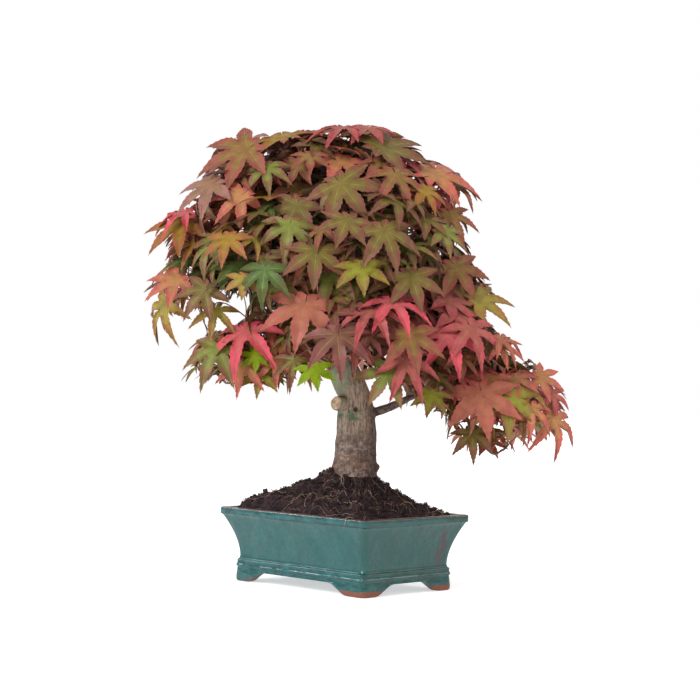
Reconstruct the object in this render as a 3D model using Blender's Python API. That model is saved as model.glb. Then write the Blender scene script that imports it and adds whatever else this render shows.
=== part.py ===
"""Japanese maple bonsai in autumn leaf, standing in its glazed rectangular pot.

Lengths are in millimetres and are turned into metres by MM where a mesh is made.
The pot's long side lies along X. The tree is modelled in its own frame, with x across
the view, y away from the viewer and z up, and TREE_TURN turns that frame about the pot.
"""
import math
import random
from collections import namedtuple

import bmesh
import bpy
from mathutils import Matrix, Vector
from mathutils.bvhtree import BVHTree

MM = 0.001
CLEARANCE = 0.3
JOINT_GAP = 0.35
LIMB_CLEARANCE = 2.0
SEED = 11

# Pot
POT_LENGTH = 203.0
POT_WIDTH = 144.4
POT_HEIGHT = 72.4
POT_CORNER = 5.0
POT_INNER_CORNER = 4.0
CORNER_STEPS = 3
WALL_THICKNESS = 7.5
WALL_FOOT = 24.5
WALL_HEAD = 64.4
WALL_INSET_FOOT = 14.2
WALL_INSET_HEAD = 1.8
WALL_CURVE = 1.7
WALL_STEPS = 5
INNER_WALL_STEPS = 4
FLOOR_UNDERSIDE = 11.0
FLOOR_TOP = 18.5
# Height and inset of the skirt with its three raised lines, then of the rim band
SKIRT = ((0.0, 12.9), (1.5, 12.1), (6.0, 11.6), (10.4, 12.5), (11.5, 11.9), (12.6, 13.0),
         (15.5, 13.2), (16.6, 12.5), (17.7, 13.5), (20.6, 13.7), (21.7, 12.9))
RIM = ((65.6, 0.0), (71.4, 0.0), (POT_HEIGHT, 0.9))
RIM_INNER = ((POT_HEIGHT, 7.2), (71.4, 8.2))
FOOT_FLAT = 22.0
FOOT_CURVE = 20.0
FOOT_HEIGHT = 10.5
FOOT_THICKNESS = 9.0
FOOT_CURVE_STEPS = 6
DRAIN_DIAMETER = 16.0
DRAIN_SPACING = 80.0
DRAIN_SIDES = 12
CUTTER_DEPTH = 2.0

# Soil, heaped up to the foot of the trunk
SOIL_EDGE = 68.6
SOIL_WALL_GAP = 0.4
SOIL_RIM_GAP = 1.3
SOIL_SEAT_RADIUS = 24.6
SOIL_SHOULDER = 8.0
SOIL_SHOULDER_SPREAD = 0.7
SOIL_HOLLOW = 4.0
SOIL_STEPS = 6

# Trunk, as centre across, centre back, height and diameter
TREE_TURN = 45.54
GROUND = 106.0
TRUNK = ((10.0, 0.0, GROUND, 45.5), (10.5, 0.0, 112.0, 42.0), (11.2, 0.0, 128.0, 39.5),
         (11.5, 0.0, 148.0, 38.5), (10.8, -1.0, 167.0, 35.5), (8.5, -2.0, 183.0, 31.5),
         (2.5, -3.0, 198.0, 30.5), (-5.0, -4.0, 213.0, 29.5), (-11.5, -4.0, 227.0, 28.0),
         (-18.5, -2.0, 247.0, 25.5), (-22.0, 2.0, 269.0, 22.5), (-18.5, 6.0, 292.0, 19.5),
         (-8.0, 8.0, 315.0, 16.5), (3.0, 5.0, 337.0, 13.5), (8.0, 0.0, 358.0, 10.5),
         (6.0, -2.0, 378.0, 8.0))
TRUNK_SIDES = 12
ROOT_LOBES = 5
ROOT_FLARE = 0.10
ROOT_FADE = 14.0
STUB_BASE = (4.0, -8.0, 175.0)
STUB_END = (-8.5, -19.0, 179.0)
STUB_DIAMETER = 13.0
STUB_TAPER = 0.86
STUB_SIDES = 9

# Boughs, each as its route across, back and up, then root and tip diameter
Bough = namedtuple("Bough", "route root tip")
BOUGHS = {
    "upper_left": Bough(((-9, 8, 312), (-30, 2, 330), (-54, -8, 350)), 9.0, 4.6),
    "upper_right": Bough(((4, 3, 345), (20, 0, 350), (38, -6, 358)), 8.0, 4.4),
    "upper_front": Bough(((-17, 5, 292), (-6, -22, 306), (8, -44, 320)), 9.0, 4.6),
    "upper_back": Bough(((0, 7, 325), (6, 30, 335), (8, 48, 342)), 8.0, 4.4),
    "left": Bough(((-21, 0, 264), (-58, 4, 284), (-100, -4, 296)), 10.0, 4.6),
    "left_front": Bough(((-21, 2, 272), (-36, -20, 284), (-54, -42, 292)), 9.0, 4.6),
    "right": Bough(((-19, 5, 284), (18, 2, 290), (58, -8, 288)), 9.5, 4.6),
    "right_front": Bough(((-16, -2, 240), (22, -16, 240), (62, -32, 232)), 9.5, 4.6),
    "lower_left": Bough(((-10, -4, 222), (-32, -20, 232), (-52, -30, 232)), 9.5, 4.8),
    "lower_right": Bough(((14, -1, 164), (44, -3, 175), (68, -6, 185), (98, -12, 189)), 10.5, 5.4),
    "lower_front": Bough(((-14, -3, 234), (-12, -34, 244), (-6, -56, 244)), 9.0, 4.6),
    "back_left": Bough(((-19, 0, 250), (-40, 24, 262), (-62, 46, 268)), 9.5, 4.6),
    "back_right": Bough(((-12, -3, 229), (18, 26, 236), (46, 48, 240)), 9.5, 4.6),
    "back": Bough(((-21, 3, 275), (-14, 36, 280), (-8, 62, 284)), 9.0, 4.6),
}
BOUGH_SIDES = 6
BOUGH_RINGS = 5
COLLAR = 1.35
COLLAR_FADE = 5.0

# Masses of leaves, each as its centre and its reach across, back and up, and its tint
Mass = namedtuple("Mass", "centre reach tint")
MASSES = {
    "apex": Mass((-12, -2, 400), (98, 80, 52), "bronze"),
    "upper_left": Mass((-96, -14, 367), (65, 74, 66), "olive"),
    "upper_right": Mass((65, -8, 364), (54, 70, 60), "bronze"),
    "upper_front": Mass((18, -84, 326), (76, 66, 70), "crimson"),
    "upper_back": Mass((8, 86, 345), (88, 62, 68), "olive"),
    "left": Mass((-142, 2, 292), (58, 62, 78), "green"),
    "left_front": Mass((-74, -74, 304), (68, 60, 66), "olive"),
    "right": Mass((94, -4, 288), (54, 72, 54), "bronze"),
    "right_front": Mass((98, -58, 226), (62, 58, 52), "crimson"),
    "lower_left": Mass((-92, -40, 222), (74, 62, 44), "crimson"),
    "lower_right": Mass((147, -10, 174), (74, 66, 47), "bronze"),
    "lower_front": Mass((10, -98, 236), (74, 60, 58), "green"),
    "back_left": Mass((-96, 82, 272), (76, 64, 66), "green"),
    "back_right": Mass((92, 78, 248), (74, 64, 70), "olive"),
    "back": Mass((0, 112, 262), (62, 54, 62), "bronze"),
}
TINTS = {"green": (0.13, 0.17, 0.05), "olive": (0.21, 0.17, 0.06), "bronze": (0.28, 0.14, 0.07),
         "crimson": (0.32, 0.08, 0.07)}

# Points that the leaves are spread round: the crown's heart, then the outlying mass's own
CROWN_HEART = (0.0, 0.0, 285.0)
OUTLYING_MASS = "lower_right"
OUTLYING_HEART = (118.0, -10.0, 176.0)
OUTLYING_SPACING = 52.0

# Leaf, as angle from the middle lobe, reach as a share of that lobe, and droop of the tip
LEAF_OUTLINE = ((0, 1.00, 0.16), (23, 0.36, 0.0), (46, 0.88, 0.14), (70, 0.31, 0.0),
                (104, 0.62, 0.08))
LEAF_LOBE = (46.0, 56.0)
LEAF_THICKNESS = 1.3
LEAF_CENTRE = 0.3
LEAF_SIDE_ANGLE = 60.0
LEAF_UPNESS = 0.3
LEAF_LEAST_UP = -0.1
LEAF_JITTER = 0.28
LEAF_SWING = 1.1
LEAF_OUTNESS = 0.7
LEAF_DROOP = 0.8
LEAF_SITES = 3000
LEAF_SHELLS = (8.0, 14.0, 20.0, 28.0, 38.0)
LEAF_SIZES = (1.0, 0.86, 0.72)
LEAF_SPACING = 38.0
LEAF_TURNS = 8
STALK_RADIUS = 0.8
STALK_FOOT_RADIUS = 0.45
STALK_LEAST = 4.0
STALK_SPACING = 5.0
FIRST_STALK = 0.03
TWIG_SIDES = 3
TWIG_RADII = (1.0, 1.5)
LEAVES_PER_TWIG = 3
NODE_DEPTHS = (24.0, 17.0, 31.0, 12.0)
NODE_PULL = 0.35
TWIG_ROOTS = 5
TWIG_MARGIN = 2.5
LONG_TWIG = 30.0
STEM_RADII = (2.6, 2.6, 2.4, 2.1)
STEM_SIDES = 4
STEM_STRAIGHT = 3.0
STEM_REACH = 0.45
STEM_BEND = (0.5, 0.4)


def clear_scene():
    """Remove every object that is in the scene."""
    for item in list(bpy.data.objects):
        bpy.data.objects.remove(item, do_unlink=True)


def new_collection(name):
    """Collection of that name, linked to the scene."""
    group = bpy.data.collections.new(name)
    bpy.context.scene.collection.children.link(group)
    return group


def material(name, colour, roughness, metallic=0.0):
    """Principled material with a base colour, a roughness and a metallic value."""
    made = bpy.data.materials.new(name)
    made.use_nodes = True
    shader = made.node_tree.nodes["Principled BSDF"]
    shader.inputs["Base Color"].default_value = (*colour, 1.0)
    shader.inputs["Roughness"].default_value = roughness
    shader.inputs["Metallic"].default_value = metallic
    return made


def mesh_object(name, bm, group, parent=None, finish=None):
    """Object that holds the bmesh, with millimetres turned into metres."""
    bmesh.ops.scale(bm, vec=(MM, MM, MM), verts=bm.verts)
    bmesh.ops.recalc_face_normals(bm, faces=bm.faces)
    mesh = bpy.data.meshes.new(name)
    bm.to_mesh(mesh)
    bm.free()
    item = bpy.data.objects.new(name, mesh)
    group.objects.link(item)
    item.parent = parent
    if finish:
        mesh.materials.append(finish)
    return item


def loft(rings):
    """Closed bmesh through rings of equal count, with a face at each end."""
    bm = bmesh.new()
    rows = [[bm.verts.new(point) for point in ring] for ring in rings]
    for low, high in zip(rows, rows[1:]):
        for here, there in zip(range(len(low)), [*range(1, len(low)), 0]):
            bm.faces.new((low[here], low[there], high[there], high[here]))
    bm.faces.new(tuple(reversed(rows[0])))
    bm.faces.new(tuple(rows[-1]))
    return bm


def rounded_rectangle(inset, height, corner):
    """Ring of points round the pot at an inset from its outermost rim."""
    half_length = POT_LENGTH / 2 - inset - corner
    half_width = POT_WIDTH / 2 - inset - corner
    ring = []
    for quarter, (side_x, side_y) in enumerate(((1, 1), (-1, 1), (-1, -1), (1, -1))):
        for step in range(CORNER_STEPS + 1):
            angle = math.radians(90.0 * (quarter + step / CORNER_STEPS))
            ring.append(Vector((side_x * half_length + corner * math.cos(angle),
                                side_y * half_width + corner * math.sin(angle), height)))
    return ring


def wall_inset(height):
    """Inset of the pot's hollow-curved outer wall at a height."""
    share = min(max((height - WALL_FOOT) / (WALL_HEAD - WALL_FOOT), 0.0), 1.0)
    return WALL_INSET_FOOT - (WALL_INSET_FOOT - WALL_INSET_HEAD) * share ** WALL_CURVE


def inner_profile():
    """Height and inset of the pot's inner face, from the rim down to its floor."""
    drop = (WALL_HEAD - FLOOR_TOP) / INNER_WALL_STEPS
    heights = [WALL_HEAD - step * drop for step in range(INNER_WALL_STEPS + 1)]
    return [*RIM_INNER, *((height, wall_inset(height) + WALL_THICKNESS) for height in heights)]


def bracket_cutter(name, span, half_opening, along_x, group):
    """Prism that cuts the gap between two feet, with an S-curved end at each foot."""
    outline = [(-half_opening, -CUTTER_DEPTH)]
    for step in range(FOOT_CURVE_STEPS + 1):
        share = step / FOOT_CURVE_STEPS
        rise = FOOT_HEIGHT * share * share * (3.0 - 2.0 * share)
        outline.append((-half_opening + FOOT_CURVE * share, rise))
    outline += [(-x, z) for x, z in reversed(outline)]
    rings = []
    for end in (-span, span):
        rings.append([Vector((x, end, z)) if along_x else Vector((end, x, z)) for x, z in outline])
    return mesh_object(name, loft(rings), group)


def cut(item, cutter):
    """Boolean difference of the item by the cutter."""
    modifier = item.modifiers.new(cutter.name, "BOOLEAN")
    modifier.operation = "DIFFERENCE"
    modifier.solver = "EXACT"
    modifier.object = cutter
    cutter.hide_render = True
    cutter.display_type = "WIRE"


def make_pot(group, cutters, parent):
    """Glazed pot: hollow-curved wall, banded rim, skirt and four bracket feet."""
    wall = [(height, wall_inset(height)) for height in
            (WALL_FOOT + step * (WALL_HEAD - WALL_FOOT) / WALL_STEPS for step in range(WALL_STEPS + 1))]
    outer = [*SKIRT, *wall, *RIM]
    rings = [rounded_rectangle(inset, height, POT_CORNER) for height, inset in outer]
    rings += [rounded_rectangle(inset, height, POT_INNER_CORNER) for height, inset in inner_profile()]
    pot = mesh_object("pot", loft(rings), group, parent, material("glaze", (0.075, 0.21, 0.20), 0.18))
    foot_inset = SKIRT[2][1]
    recess = [rounded_rectangle(foot_inset + FOOT_THICKNESS, height, POT_INNER_CORNER)
              for height in (-CUTTER_DEPTH, FLOOR_UNDERSIDE)]
    cut(pot, mesh_object("underside_cutter", loft(recess), cutters))
    long_half = POT_LENGTH / 2 - foot_inset - FOOT_FLAT
    short_half = POT_WIDTH / 2 - foot_inset - FOOT_FLAT
    cut(pot, bracket_cutter("long_side_cutter", POT_WIDTH, long_half, True, cutters))
    cut(pot, bracket_cutter("short_side_cutter", POT_LENGTH, short_half, False, cutters))
    for side in (-1, 1):
        bm = bmesh.new()
        bmesh.ops.create_cone(bm, cap_ends=True, segments=DRAIN_SIDES, radius1=DRAIN_DIAMETER / 2,
                              radius2=DRAIN_DIAMETER / 2, depth=FLOOR_TOP)
        bmesh.ops.translate(bm, vec=(side * DRAIN_SPACING / 2, 0, FLOOR_TOP), verts=bm.verts)
        cut(pot, mesh_object("drain_cutter", bm, cutters))
    return pot


def make_soil(group, parent):
    """Soil that fills the pot and is heaped up to a flat seat under the trunk."""
    profile = [(height, inset) for height, inset in reversed(inner_profile()) if height < SOIL_EDGE]
    profile[0] = (FLOOR_TOP + CLEARANCE, profile[0][1])
    rings = [rounded_rectangle(inset + SOIL_WALL_GAP, height, POT_INNER_CORNER)
             for height, inset in profile]
    edge = rounded_rectangle(RIM_INNER[1][1] + SOIL_RIM_GAP, SOIL_EDGE, POT_INNER_CORNER)
    turn = Matrix.Rotation(math.radians(TREE_TURN), 3, "Z")
    seat = turn @ Vector((TRUNK[0][0], TRUNK[0][1], GROUND - CLEARANCE))
    rings.append(edge)
    for step in range(1, SOIL_STEPS + 1):
        share = step / SOIL_STEPS
        ring = []
        for point in edge:
            away = Vector((point.x, point.y, 0)) - Vector((seat.x, seat.y, 0))
            end = seat + away.normalized() * SOIL_SEAT_RADIUS
            place = point.lerp(end, share)
            leftward = max(0.0, -(away.normalized().dot(turn @ Vector((1, 0, 0)))))
            place.z += SOIL_SHOULDER * leftward * math.sin(math.pi * share) ** SOIL_SHOULDER_SPREAD
            place.z -= SOIL_HOLLOW * (1.0 - leftward) * math.sin(math.pi * share * share)
            ring.append(place)
        rings.append(ring)
    return mesh_object("soil", loft(rings), group, parent, material("dark_soil", (0.03, 0.02, 0.017), 0.95))


def smooth_route(points, count):
    """Evenly numbered points on a Catmull-Rom curve through the given ones."""
    knots = [Vector(point) for point in points]
    knots = [2 * knots[0] - knots[1], *knots, 2 * knots[-1] - knots[-2]]
    route = []
    for step in range(count + 1):
        place = step / count * (len(knots) - 3)
        span = min(int(place), len(knots) - 4)
        t = place - span
        a, b, c, d = knots[span:span + 4]
        route.append(0.5 * (2 * b + (c - a) * t + (2 * a - 5 * b + 4 * c - d) * t * t
                            + (3 * b - a - 3 * c + d) * t * t * t))
    return route


def limb(route, radii, sides, flat_start=False, swell=None):
    """Closed tapering limb with a ring square to its route at each point."""
    rings = []
    side = None
    for index, (place, radius) in enumerate(zip(route, radii)):
        ahead = route[min(index + 1, len(route) - 1)] - route[max(index - 1, 0)]
        if flat_start and index == 0:
            ahead = Vector((0, 0, 1))
        ahead.normalize()
        side = (side or ahead.orthogonal())
        side = (side - ahead * side.dot(ahead)).normalized()
        other = ahead.cross(side)
        ring = []
        for step in range(sides):
            angle = math.tau * step / sides
            reach = radius * (swell(place, angle) if swell else 1.0)
            ring.append(place + reach * (math.cos(angle) * side + math.sin(angle) * other))
        rings.append(ring)
    return loft(rings)


def root_swell(place, angle):
    """Widening of the trunk's foot into roots, fading with height."""
    fade = math.exp(-(place.z - GROUND) / ROOT_FADE)
    return 1.0 + ROOT_FLARE * fade * (1.0 + math.cos(ROOT_LOBES * angle)) / 2


def trunk_bmesh(extra=0.0):
    """Trunk from its flat cut on the soil up to its tip, grown by extra all round."""
    route = [Vector(station[:3]) for station in TRUNK]
    radii = [station[3] / 2 + extra for station in TRUNK]
    return limb(route, radii, TRUNK_SIDES, flat_start=True, swell=root_swell)


def stub_bmesh(extra=0.0):
    """Stub of a pruned branch with a flat cut, grown by extra all round."""
    route = smooth_route((STUB_BASE, STUB_END), 2)
    radius = STUB_DIAMETER / 2 + extra
    return limb(route, (radius, radius, radius * STUB_TAPER), STUB_SIDES)


def bough_bmesh(bough, extra=0.0):
    """Bough from inside the trunk to its tip, grown by extra all round."""
    route = smooth_route(bough.route, BOUGH_RINGS)
    radii = []
    for step in range(BOUGH_RINGS + 1):
        share = step / BOUGH_RINGS
        radius = (bough.root * (1 - share) + bough.tip * share) / 2
        radii.append(radius * (1 + (COLLAR - 1) * math.exp(-share * COLLAR_FADE)) + extra)
    return limb(route, radii, BOUGH_SIDES)


def keep_largest_shell(mesh):
    """Fill the hollows that fusing sealed and drop loose scraps, leaving one closed shell."""
    bm = bmesh.new()
    bm.from_mesh(mesh)
    seen = set()
    shells = []
    for start in bm.faces:
        if start in seen:
            continue
        seen.add(start)
        shell = [start]
        for face in shell:
            for beside in (other for edge in face.edges for other in edge.link_faces):
                if beside not in seen:
                    seen.add(beside)
                    shell.append(beside)
        shells.append(shell)
    shells.sort(key=len)
    for shell in shells[:-1]:
        bmesh.ops.delete(bm, geom=shell, context="FACES")
    bm.to_mesh(mesh)
    bm.free()


def union(item, pieces):
    """Fuse the pieces into the item, apply the union and remove the pieces."""
    modifier = item.modifiers.new("fused", "BOOLEAN")
    modifier.operation = "UNION"
    modifier.solver = "MANIFOLD"
    modifier.operand_type = "COLLECTION"
    modifier.collection = pieces
    bpy.context.view_layer.update()
    graph = bpy.context.evaluated_depsgraph_get()
    fused = bpy.data.meshes.new_from_object(item.evaluated_get(graph))
    item.modifiers.clear()
    keep_largest_shell(fused)
    item.data = fused
    for piece in list(pieces.objects):
        bpy.data.objects.remove(piece, do_unlink=True)
    bpy.data.collections.remove(pieces)


def make_trunk(group, parent):
    """Trunk with its root flare and the stub of a pruned branch, as one solid."""
    bark = material("bark", (0.16, 0.12, 0.085), 0.85)
    trunk = mesh_object("trunk", trunk_bmesh(), group, parent, bark)
    pieces = new_collection("trunk_pieces")
    mesh_object("stub", stub_bmesh(), pieces, parent)
    union(trunk, pieces)
    return trunk


def make_boughs(group, cutters, parent):
    """One limb for each bough, cut clear of the trunk where it grows out of it."""
    grown = mesh_object("trunk_cutter", trunk_bmesh(JOINT_GAP), cutters, parent)
    bark = material("bough_bark", (0.17, 0.13, 0.095), 0.85)
    for name, bough in BOUGHS.items():
        cut(mesh_object("bough_" + name, bough_bmesh(bough), group, parent, bark), grown)


def limbs_tree():
    """Search tree over the trunk, the stub and the boughs, grown by a clearance all round."""
    bm = trunk_bmesh(LIMB_CLEARANCE)
    for part in (stub_bmesh(LIMB_CLEARANCE),
                 *(bough_bmesh(bough, LIMB_CLEARANCE) for bough in BOUGHS.values())):
        scratch = bpy.data.meshes.new("scratch")
        part.to_mesh(scratch)
        part.free()
        bm.from_mesh(scratch)
        bpy.data.meshes.remove(scratch)
    tree = BVHTree.FromBMesh(bm)
    bm.free()
    return tree


def in_space(name, point, margin=CLEARANCE):
    """Whether a point lies in a mass's reach and nearer to its centre than to any other."""
    centre = Vector(MASSES[name].centre)
    reach = MASSES[name].reach
    if sum(((point[k] - centre[k]) / reach[k]) ** 2 for k in range(3)) > 1.0:
        return False
    for other, mass in MASSES.items():
        if other != name:
            apart = Vector(mass.centre) - centre
            if (point - (centre + apart / 2)).dot(apart.normalized()) > -margin:
                return False
    return True


def leaf_points(lobe):
    """Outline of a five-lobed leaf with its stalk joint at the origin and middle lobe on +Y."""
    half = [(math.radians(angle), reach, droop) for angle, reach, droop in LEAF_OUTLINE]
    whole = half + [(-angle, reach, droop) for angle, reach, droop in reversed(half[1:])]
    return [lobe * Vector((math.sin(angle) * reach, math.cos(angle) * reach, -droop))
            for angle, reach, droop in whole]


def leaf_faces(outline):
    """Triangles of a leaf: its upper side, its underside round the stalk, and the stalk."""
    count = len(outline)
    top, near, far = count, count + 1, count + 4
    corner = []
    for point in outline:
        angle = math.degrees(math.atan2(point.x, point.y))
        corner.append(near + (0 if abs(angle) < LEAF_SIDE_ANGLE else 1 if angle > 0.0 else 2))
    faces = []
    for here in range(count):
        there = (here + 1) % count
        faces.append((there, here, top))
        faces.append((here, there, corner[here]))
        if corner[here] != corner[there]:
            faces.append((there, corner[there], corner[here]))
    for here, there in ((0, 1), (1, 2), (2, 0)):
        faces.append((near + here, near + there, far + there, far + here))
    faces.append((far + 2, far + 1, far))
    return faces


Leaf = namedtuple("Leaf", "points faces centre joint normal tree")


def placed_leaf(centre, normal, ahead, lobe):
    """Leaf whose blade lies across normal with its middle lobe ahead and its middle at centre."""
    side = ahead.cross(normal)
    turn = Matrix((side, ahead, normal)).transposed()
    joint = centre - ahead * lobe * LEAF_CENTRE
    outline = leaf_points(lobe)
    lift = Vector((0, 0, LEAF_THICKNESS / 2))
    ring = [Vector((math.sin(angle), math.cos(angle), 0)) * STALK_RADIUS - lift
            for angle in (0.0, math.tau / 3, -math.tau / 3)]
    ends = [point - Vector((0, 0, STALK_LEAST)) for point in ring]
    points = [joint + turn @ point for point in [*outline, lift, *ring, *ends]]
    faces = leaf_faces(outline)
    return Leaf(points, faces, centre, joint, normal, BVHTree.FromPolygons(points, faces))


def drawn_stalk(leaf, foot):
    """The leaf's points with its stalk drawn out to a foot sunk in a twig."""
    ring = leaf.points[-6:-3]
    middle = sum(ring, Vector()) / 3
    along = (foot - middle).normalized()
    ends = []
    for point in ring:
        across = point - middle
        across = (across - along * across.dot(along)).normalized()
        ends.append(foot + across * STALK_FOOT_RADIUS)
    return [*leaf.points[:-3], *ends]


def leaf_directions(name, place, rng):
    """Normal and middle lobe's direction of a leaf that hangs outward at a place."""
    from_mass = (place - Vector(MASSES[name].centre)).normalized()
    from_heart = (place - Vector(CROWN_HEART)).normalized()
    out = from_mass + from_heart
    out.z = max(out.z, LEAF_LEAST_UP)
    jitter = Vector([rng.uniform(-LEAF_JITTER, LEAF_JITTER) for _ in range(3)])
    normal = (out.normalized() + Vector((0, 0, LEAF_UPNESS)) + jitter).normalized()
    flat_out = Vector((out.x, out.y, 0.0)).normalized()
    sideways = Vector((0, 0, 1)).cross(flat_out) * rng.uniform(-LEAF_SWING, LEAF_SWING)
    ahead = flat_out * LEAF_OUTNESS + Vector((0, 0, -LEAF_DROOP)) + sideways
    ahead = (ahead - normal * ahead.dot(normal)).normalized()
    return normal, ahead


def sphere_directions(count):
    """Directions spread evenly over a sphere along a golden-angle spiral."""
    for step in range(count):
        height = 1.0 - 2.0 * (step + 0.5) / count
        level = math.sqrt(1.0 - height * height)
        angle = step * math.pi * (3.0 - math.sqrt(5.0))
        yield Vector((level * math.cos(angle), level * math.sin(angle), height))


def crown_reach(heart, masses, way):
    """How far the masses reach from a heart in a direction, or None where none lies."""
    furthest = None
    for mass in masses:
        start = Vector([(heart[k] - mass.centre[k]) / mass.reach[k] for k in range(3)])
        slope = Vector([way[k] / mass.reach[k] for k in range(3)])
        half = start.dot(slope) / slope.length_squared
        root = half * half - (start.length_squared - 1.0) / slope.length_squared
        if root > 0.0 and math.sqrt(root) - half > (furthest or 0.0):
            furthest = math.sqrt(root) - half
    return furthest


def spread_leaves(limbs):
    """Leaves all over the crown, each as far out as it fits, listed by the mass that holds it."""
    rng = random.Random(SEED)
    leaves = {name: [] for name in MASSES}
    for heart, masses, spacing in ((CROWN_HEART, MASSES.values(), LEAF_SPACING),
                                   (OUTLYING_HEART, [MASSES[OUTLYING_MASS]], OUTLYING_SPACING)):
        for way in sphere_directions(LEAF_SITES):
            reach = crown_reach(heart, masses, way)
            if reach:
                add_leaf(Vector(heart), way, reach, spacing, limbs, leaves, rng)
    return leaves


def add_leaf(heart, way, reach, spacing, limbs, leaves, rng):
    """Add the leaf that fits furthest out along one direction from a heart, if any does."""
    for shell, size in ((shell, size) for shell in LEAF_SHELLS for size in LEAF_SIZES):
        place = heart + way * (reach - shell)
        name = next((name for name in MASSES if in_space(name, place)), None)
        leaf = name and fitting_leaf(name, place, size, spacing, limbs, leaves[name], rng)
        if leaf:
            leaves[name].append(leaf)
            return


def fitting_leaf(name, place, size, spacing, limbs, leaves, rng):
    """Leaf at a place in a mass's space that keeps clear of limbs and other leaves, or None."""
    if any((leaf.centre - place).length < spacing * size for leaf in leaves):
        return None
    for _ in range(LEAF_TURNS):
        normal, ahead = leaf_directions(name, place, rng)
        leaf = placed_leaf(place, normal, ahead, rng.uniform(*LEAF_LOBE) * size)
        if not all(in_space(name, point) for point in leaf.points):
            continue
        if leaf.tree.overlap(limbs) or any(leaf.tree.overlap(other.tree) for other in leaves):
            continue
        return leaf
    return None


def leaf_groups(leaves, start):
    """Leaves in groups of neighbours, nearest to the stem's foot first."""
    waiting = sorted(range(len(leaves)), key=lambda index: (leaves[index].joint - start).length)
    while waiting:
        first = leaves[waiting[0]]
        waiting.sort(key=lambda index: (leaves[index].joint - first.joint).length)
        yield [leaves[index] for index in waiting[:LEAVES_PER_TWIG]]
        waiting = waiting[LEAVES_PER_TWIG:]
        waiting.sort(key=lambda index: (leaves[index].joint - start).length)


def stem_start(name):
    """Foot of a mass's stem, just clear of its bough's tip or the trunk's, and its heading."""
    if name in BOUGHS:
        route = smooth_route(BOUGHS[name].route, BOUGH_RINGS)
    else:
        route = [Vector(station[:3]) for station in TRUNK]
    heading = (route[-1] - route[-2]).normalized()
    return route[-1] + heading * JOINT_GAP, heading


def crossings(start, end, trees):
    """How many of the search trees the straight line between two points runs through."""
    way = end - start
    return sum(tree.ray_cast(start, way.normalized(), way.length)[0] is not None for tree in trees)


def stalk_feet(root, node, members):
    """Where the stalks of a group's leaves meet their twig, the furthest leaf's at its end."""
    ordered = sorted(members, key=lambda leaf: -(leaf.joint - root).length)
    spacing = STALK_SPACING / max((node - root).length, 4 * STALK_SPACING)
    return [(leaf, node.lerp(root, FIRST_STALK + index * spacing)) for index, leaf in enumerate(ordered)]


def best_twig(name, members, nodes, leaves, limbs):
    """Root and end of the twig for a group of leaves that runs through the fewest others, or None."""
    joint = sum((leaf.joint for leaf in members), Vector()) / len(members)
    inward = sum((leaf.normal for leaf in members), Vector()).normalized()
    choices = []
    for depth in NODE_DEPTHS:
        node = joint - inward * depth
        if not in_space(name, node, TWIG_MARGIN):
            node = joint.lerp(Vector(MASSES[name].centre), NODE_PULL)
        for root in sorted(nodes, key=lambda point: (point - node).length)[:TWIG_ROOTS]:
            feet = stalk_feet(root, node, members)
            if ((root - node).length < 2.0 * STALK_SPACING or crossings(root, node, [limbs])
                    or any(crossings(foot, leaf.joint, [limbs]) for leaf, foot in feet)):
                continue
            cost = (root - node).length / LONG_TWIG
            cost += 2 * crossings(root, node, [leaf.tree for leaf in leaves])
            for leaf, foot in feet:
                cost += crossings(foot, leaf.joint, [other.tree for other in leaves if other != leaf])
            choices.append((cost, len(choices), root, node))
    return min(choices)[2:] if choices else None


def grow_mass(name, leaves, limbs, group, parent, finish):
    """One mass of leaves: a stem, twigs that branch from it and leaves on their stalks."""
    start, heading = stem_start(name)
    stem_end = start.lerp(Vector(MASSES[name].centre), STEM_REACH)
    bend = start + heading * (stem_end - start).length * STEM_BEND[0]
    stem = [start, start + heading * STEM_STRAIGHT, bend.lerp(stem_end, STEM_BEND[1]), stem_end]
    item = mesh_object("leaves_" + name, limb(stem, STEM_RADII, STEM_SIDES), group, parent, finish)
    pieces = new_collection("pieces")
    nodes = [stem[2], stem_end]
    for members in leaf_groups(leaves, start):
        twig = best_twig(name, members, nodes, leaves, limbs)
        if not twig:
            continue
        root, node = twig
        mesh_object("twig", limb([root, node], TWIG_RADII, TWIG_SIDES), pieces, parent)
        nodes += [root.lerp(node, 0.5), node]
        for leaf, foot in stalk_feet(root, node, members):
            bm = bmesh.new()
            corners = [bm.verts.new(point) for point in drawn_stalk(leaf, foot)]
            for face in leaf.faces:
                bm.faces.new([corners[index] for index in face])
            mesh_object("leaf", bm, pieces, parent)
    union(item, pieces)


def box(items):
    """Lowest and highest corner of the items' evaluated meshes in world space."""
    bpy.context.view_layer.update()
    graph = bpy.context.evaluated_depsgraph_get()
    points = []
    for item in items:
        seen = item.evaluated_get(graph)
        points += [seen.matrix_world @ vertex.co for vertex in seen.data.vertices]
    return [Vector([pick(point[k] for point in points) for k in range(3)]) for pick in (min, max)]


def main():
    """Build the plant in its pot, with the origin on the ground under its middle."""
    clear_scene()
    parts = new_collection("maple_bonsai")
    cutters = new_collection("cutters")
    whole = bpy.data.objects.new("bonsai", None)
    tree = bpy.data.objects.new("tree", None)
    for empty in (whole, tree):
        parts.objects.link(empty)
    tree.parent = whole
    tree.rotation_euler.z = math.radians(TREE_TURN)
    bpy.context.view_layer.update()
    make_pot(parts, cutters, whole)
    make_soil(parts, whole)
    make_trunk(parts, tree)
    make_boughs(parts, cutters, tree)
    limbs = limbs_tree()
    tints = {name: material(name + "_leaves", colour, 0.5) for name, colour in TINTS.items()}
    for name, leaves in spread_leaves(limbs).items():
        grow_mass(name, leaves, limbs, parts, tree, tints[MASSES[name].tint])
    low, high = box([item for item in parts.objects if item.type == "MESH"])
    whole.location = Vector((-(low.x + high.x) / 2, -(low.y + high.y) / 2, 0.0))
    for cutter in cutters.objects:
        cutter.parent = cutter.parent or whole


main()
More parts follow.
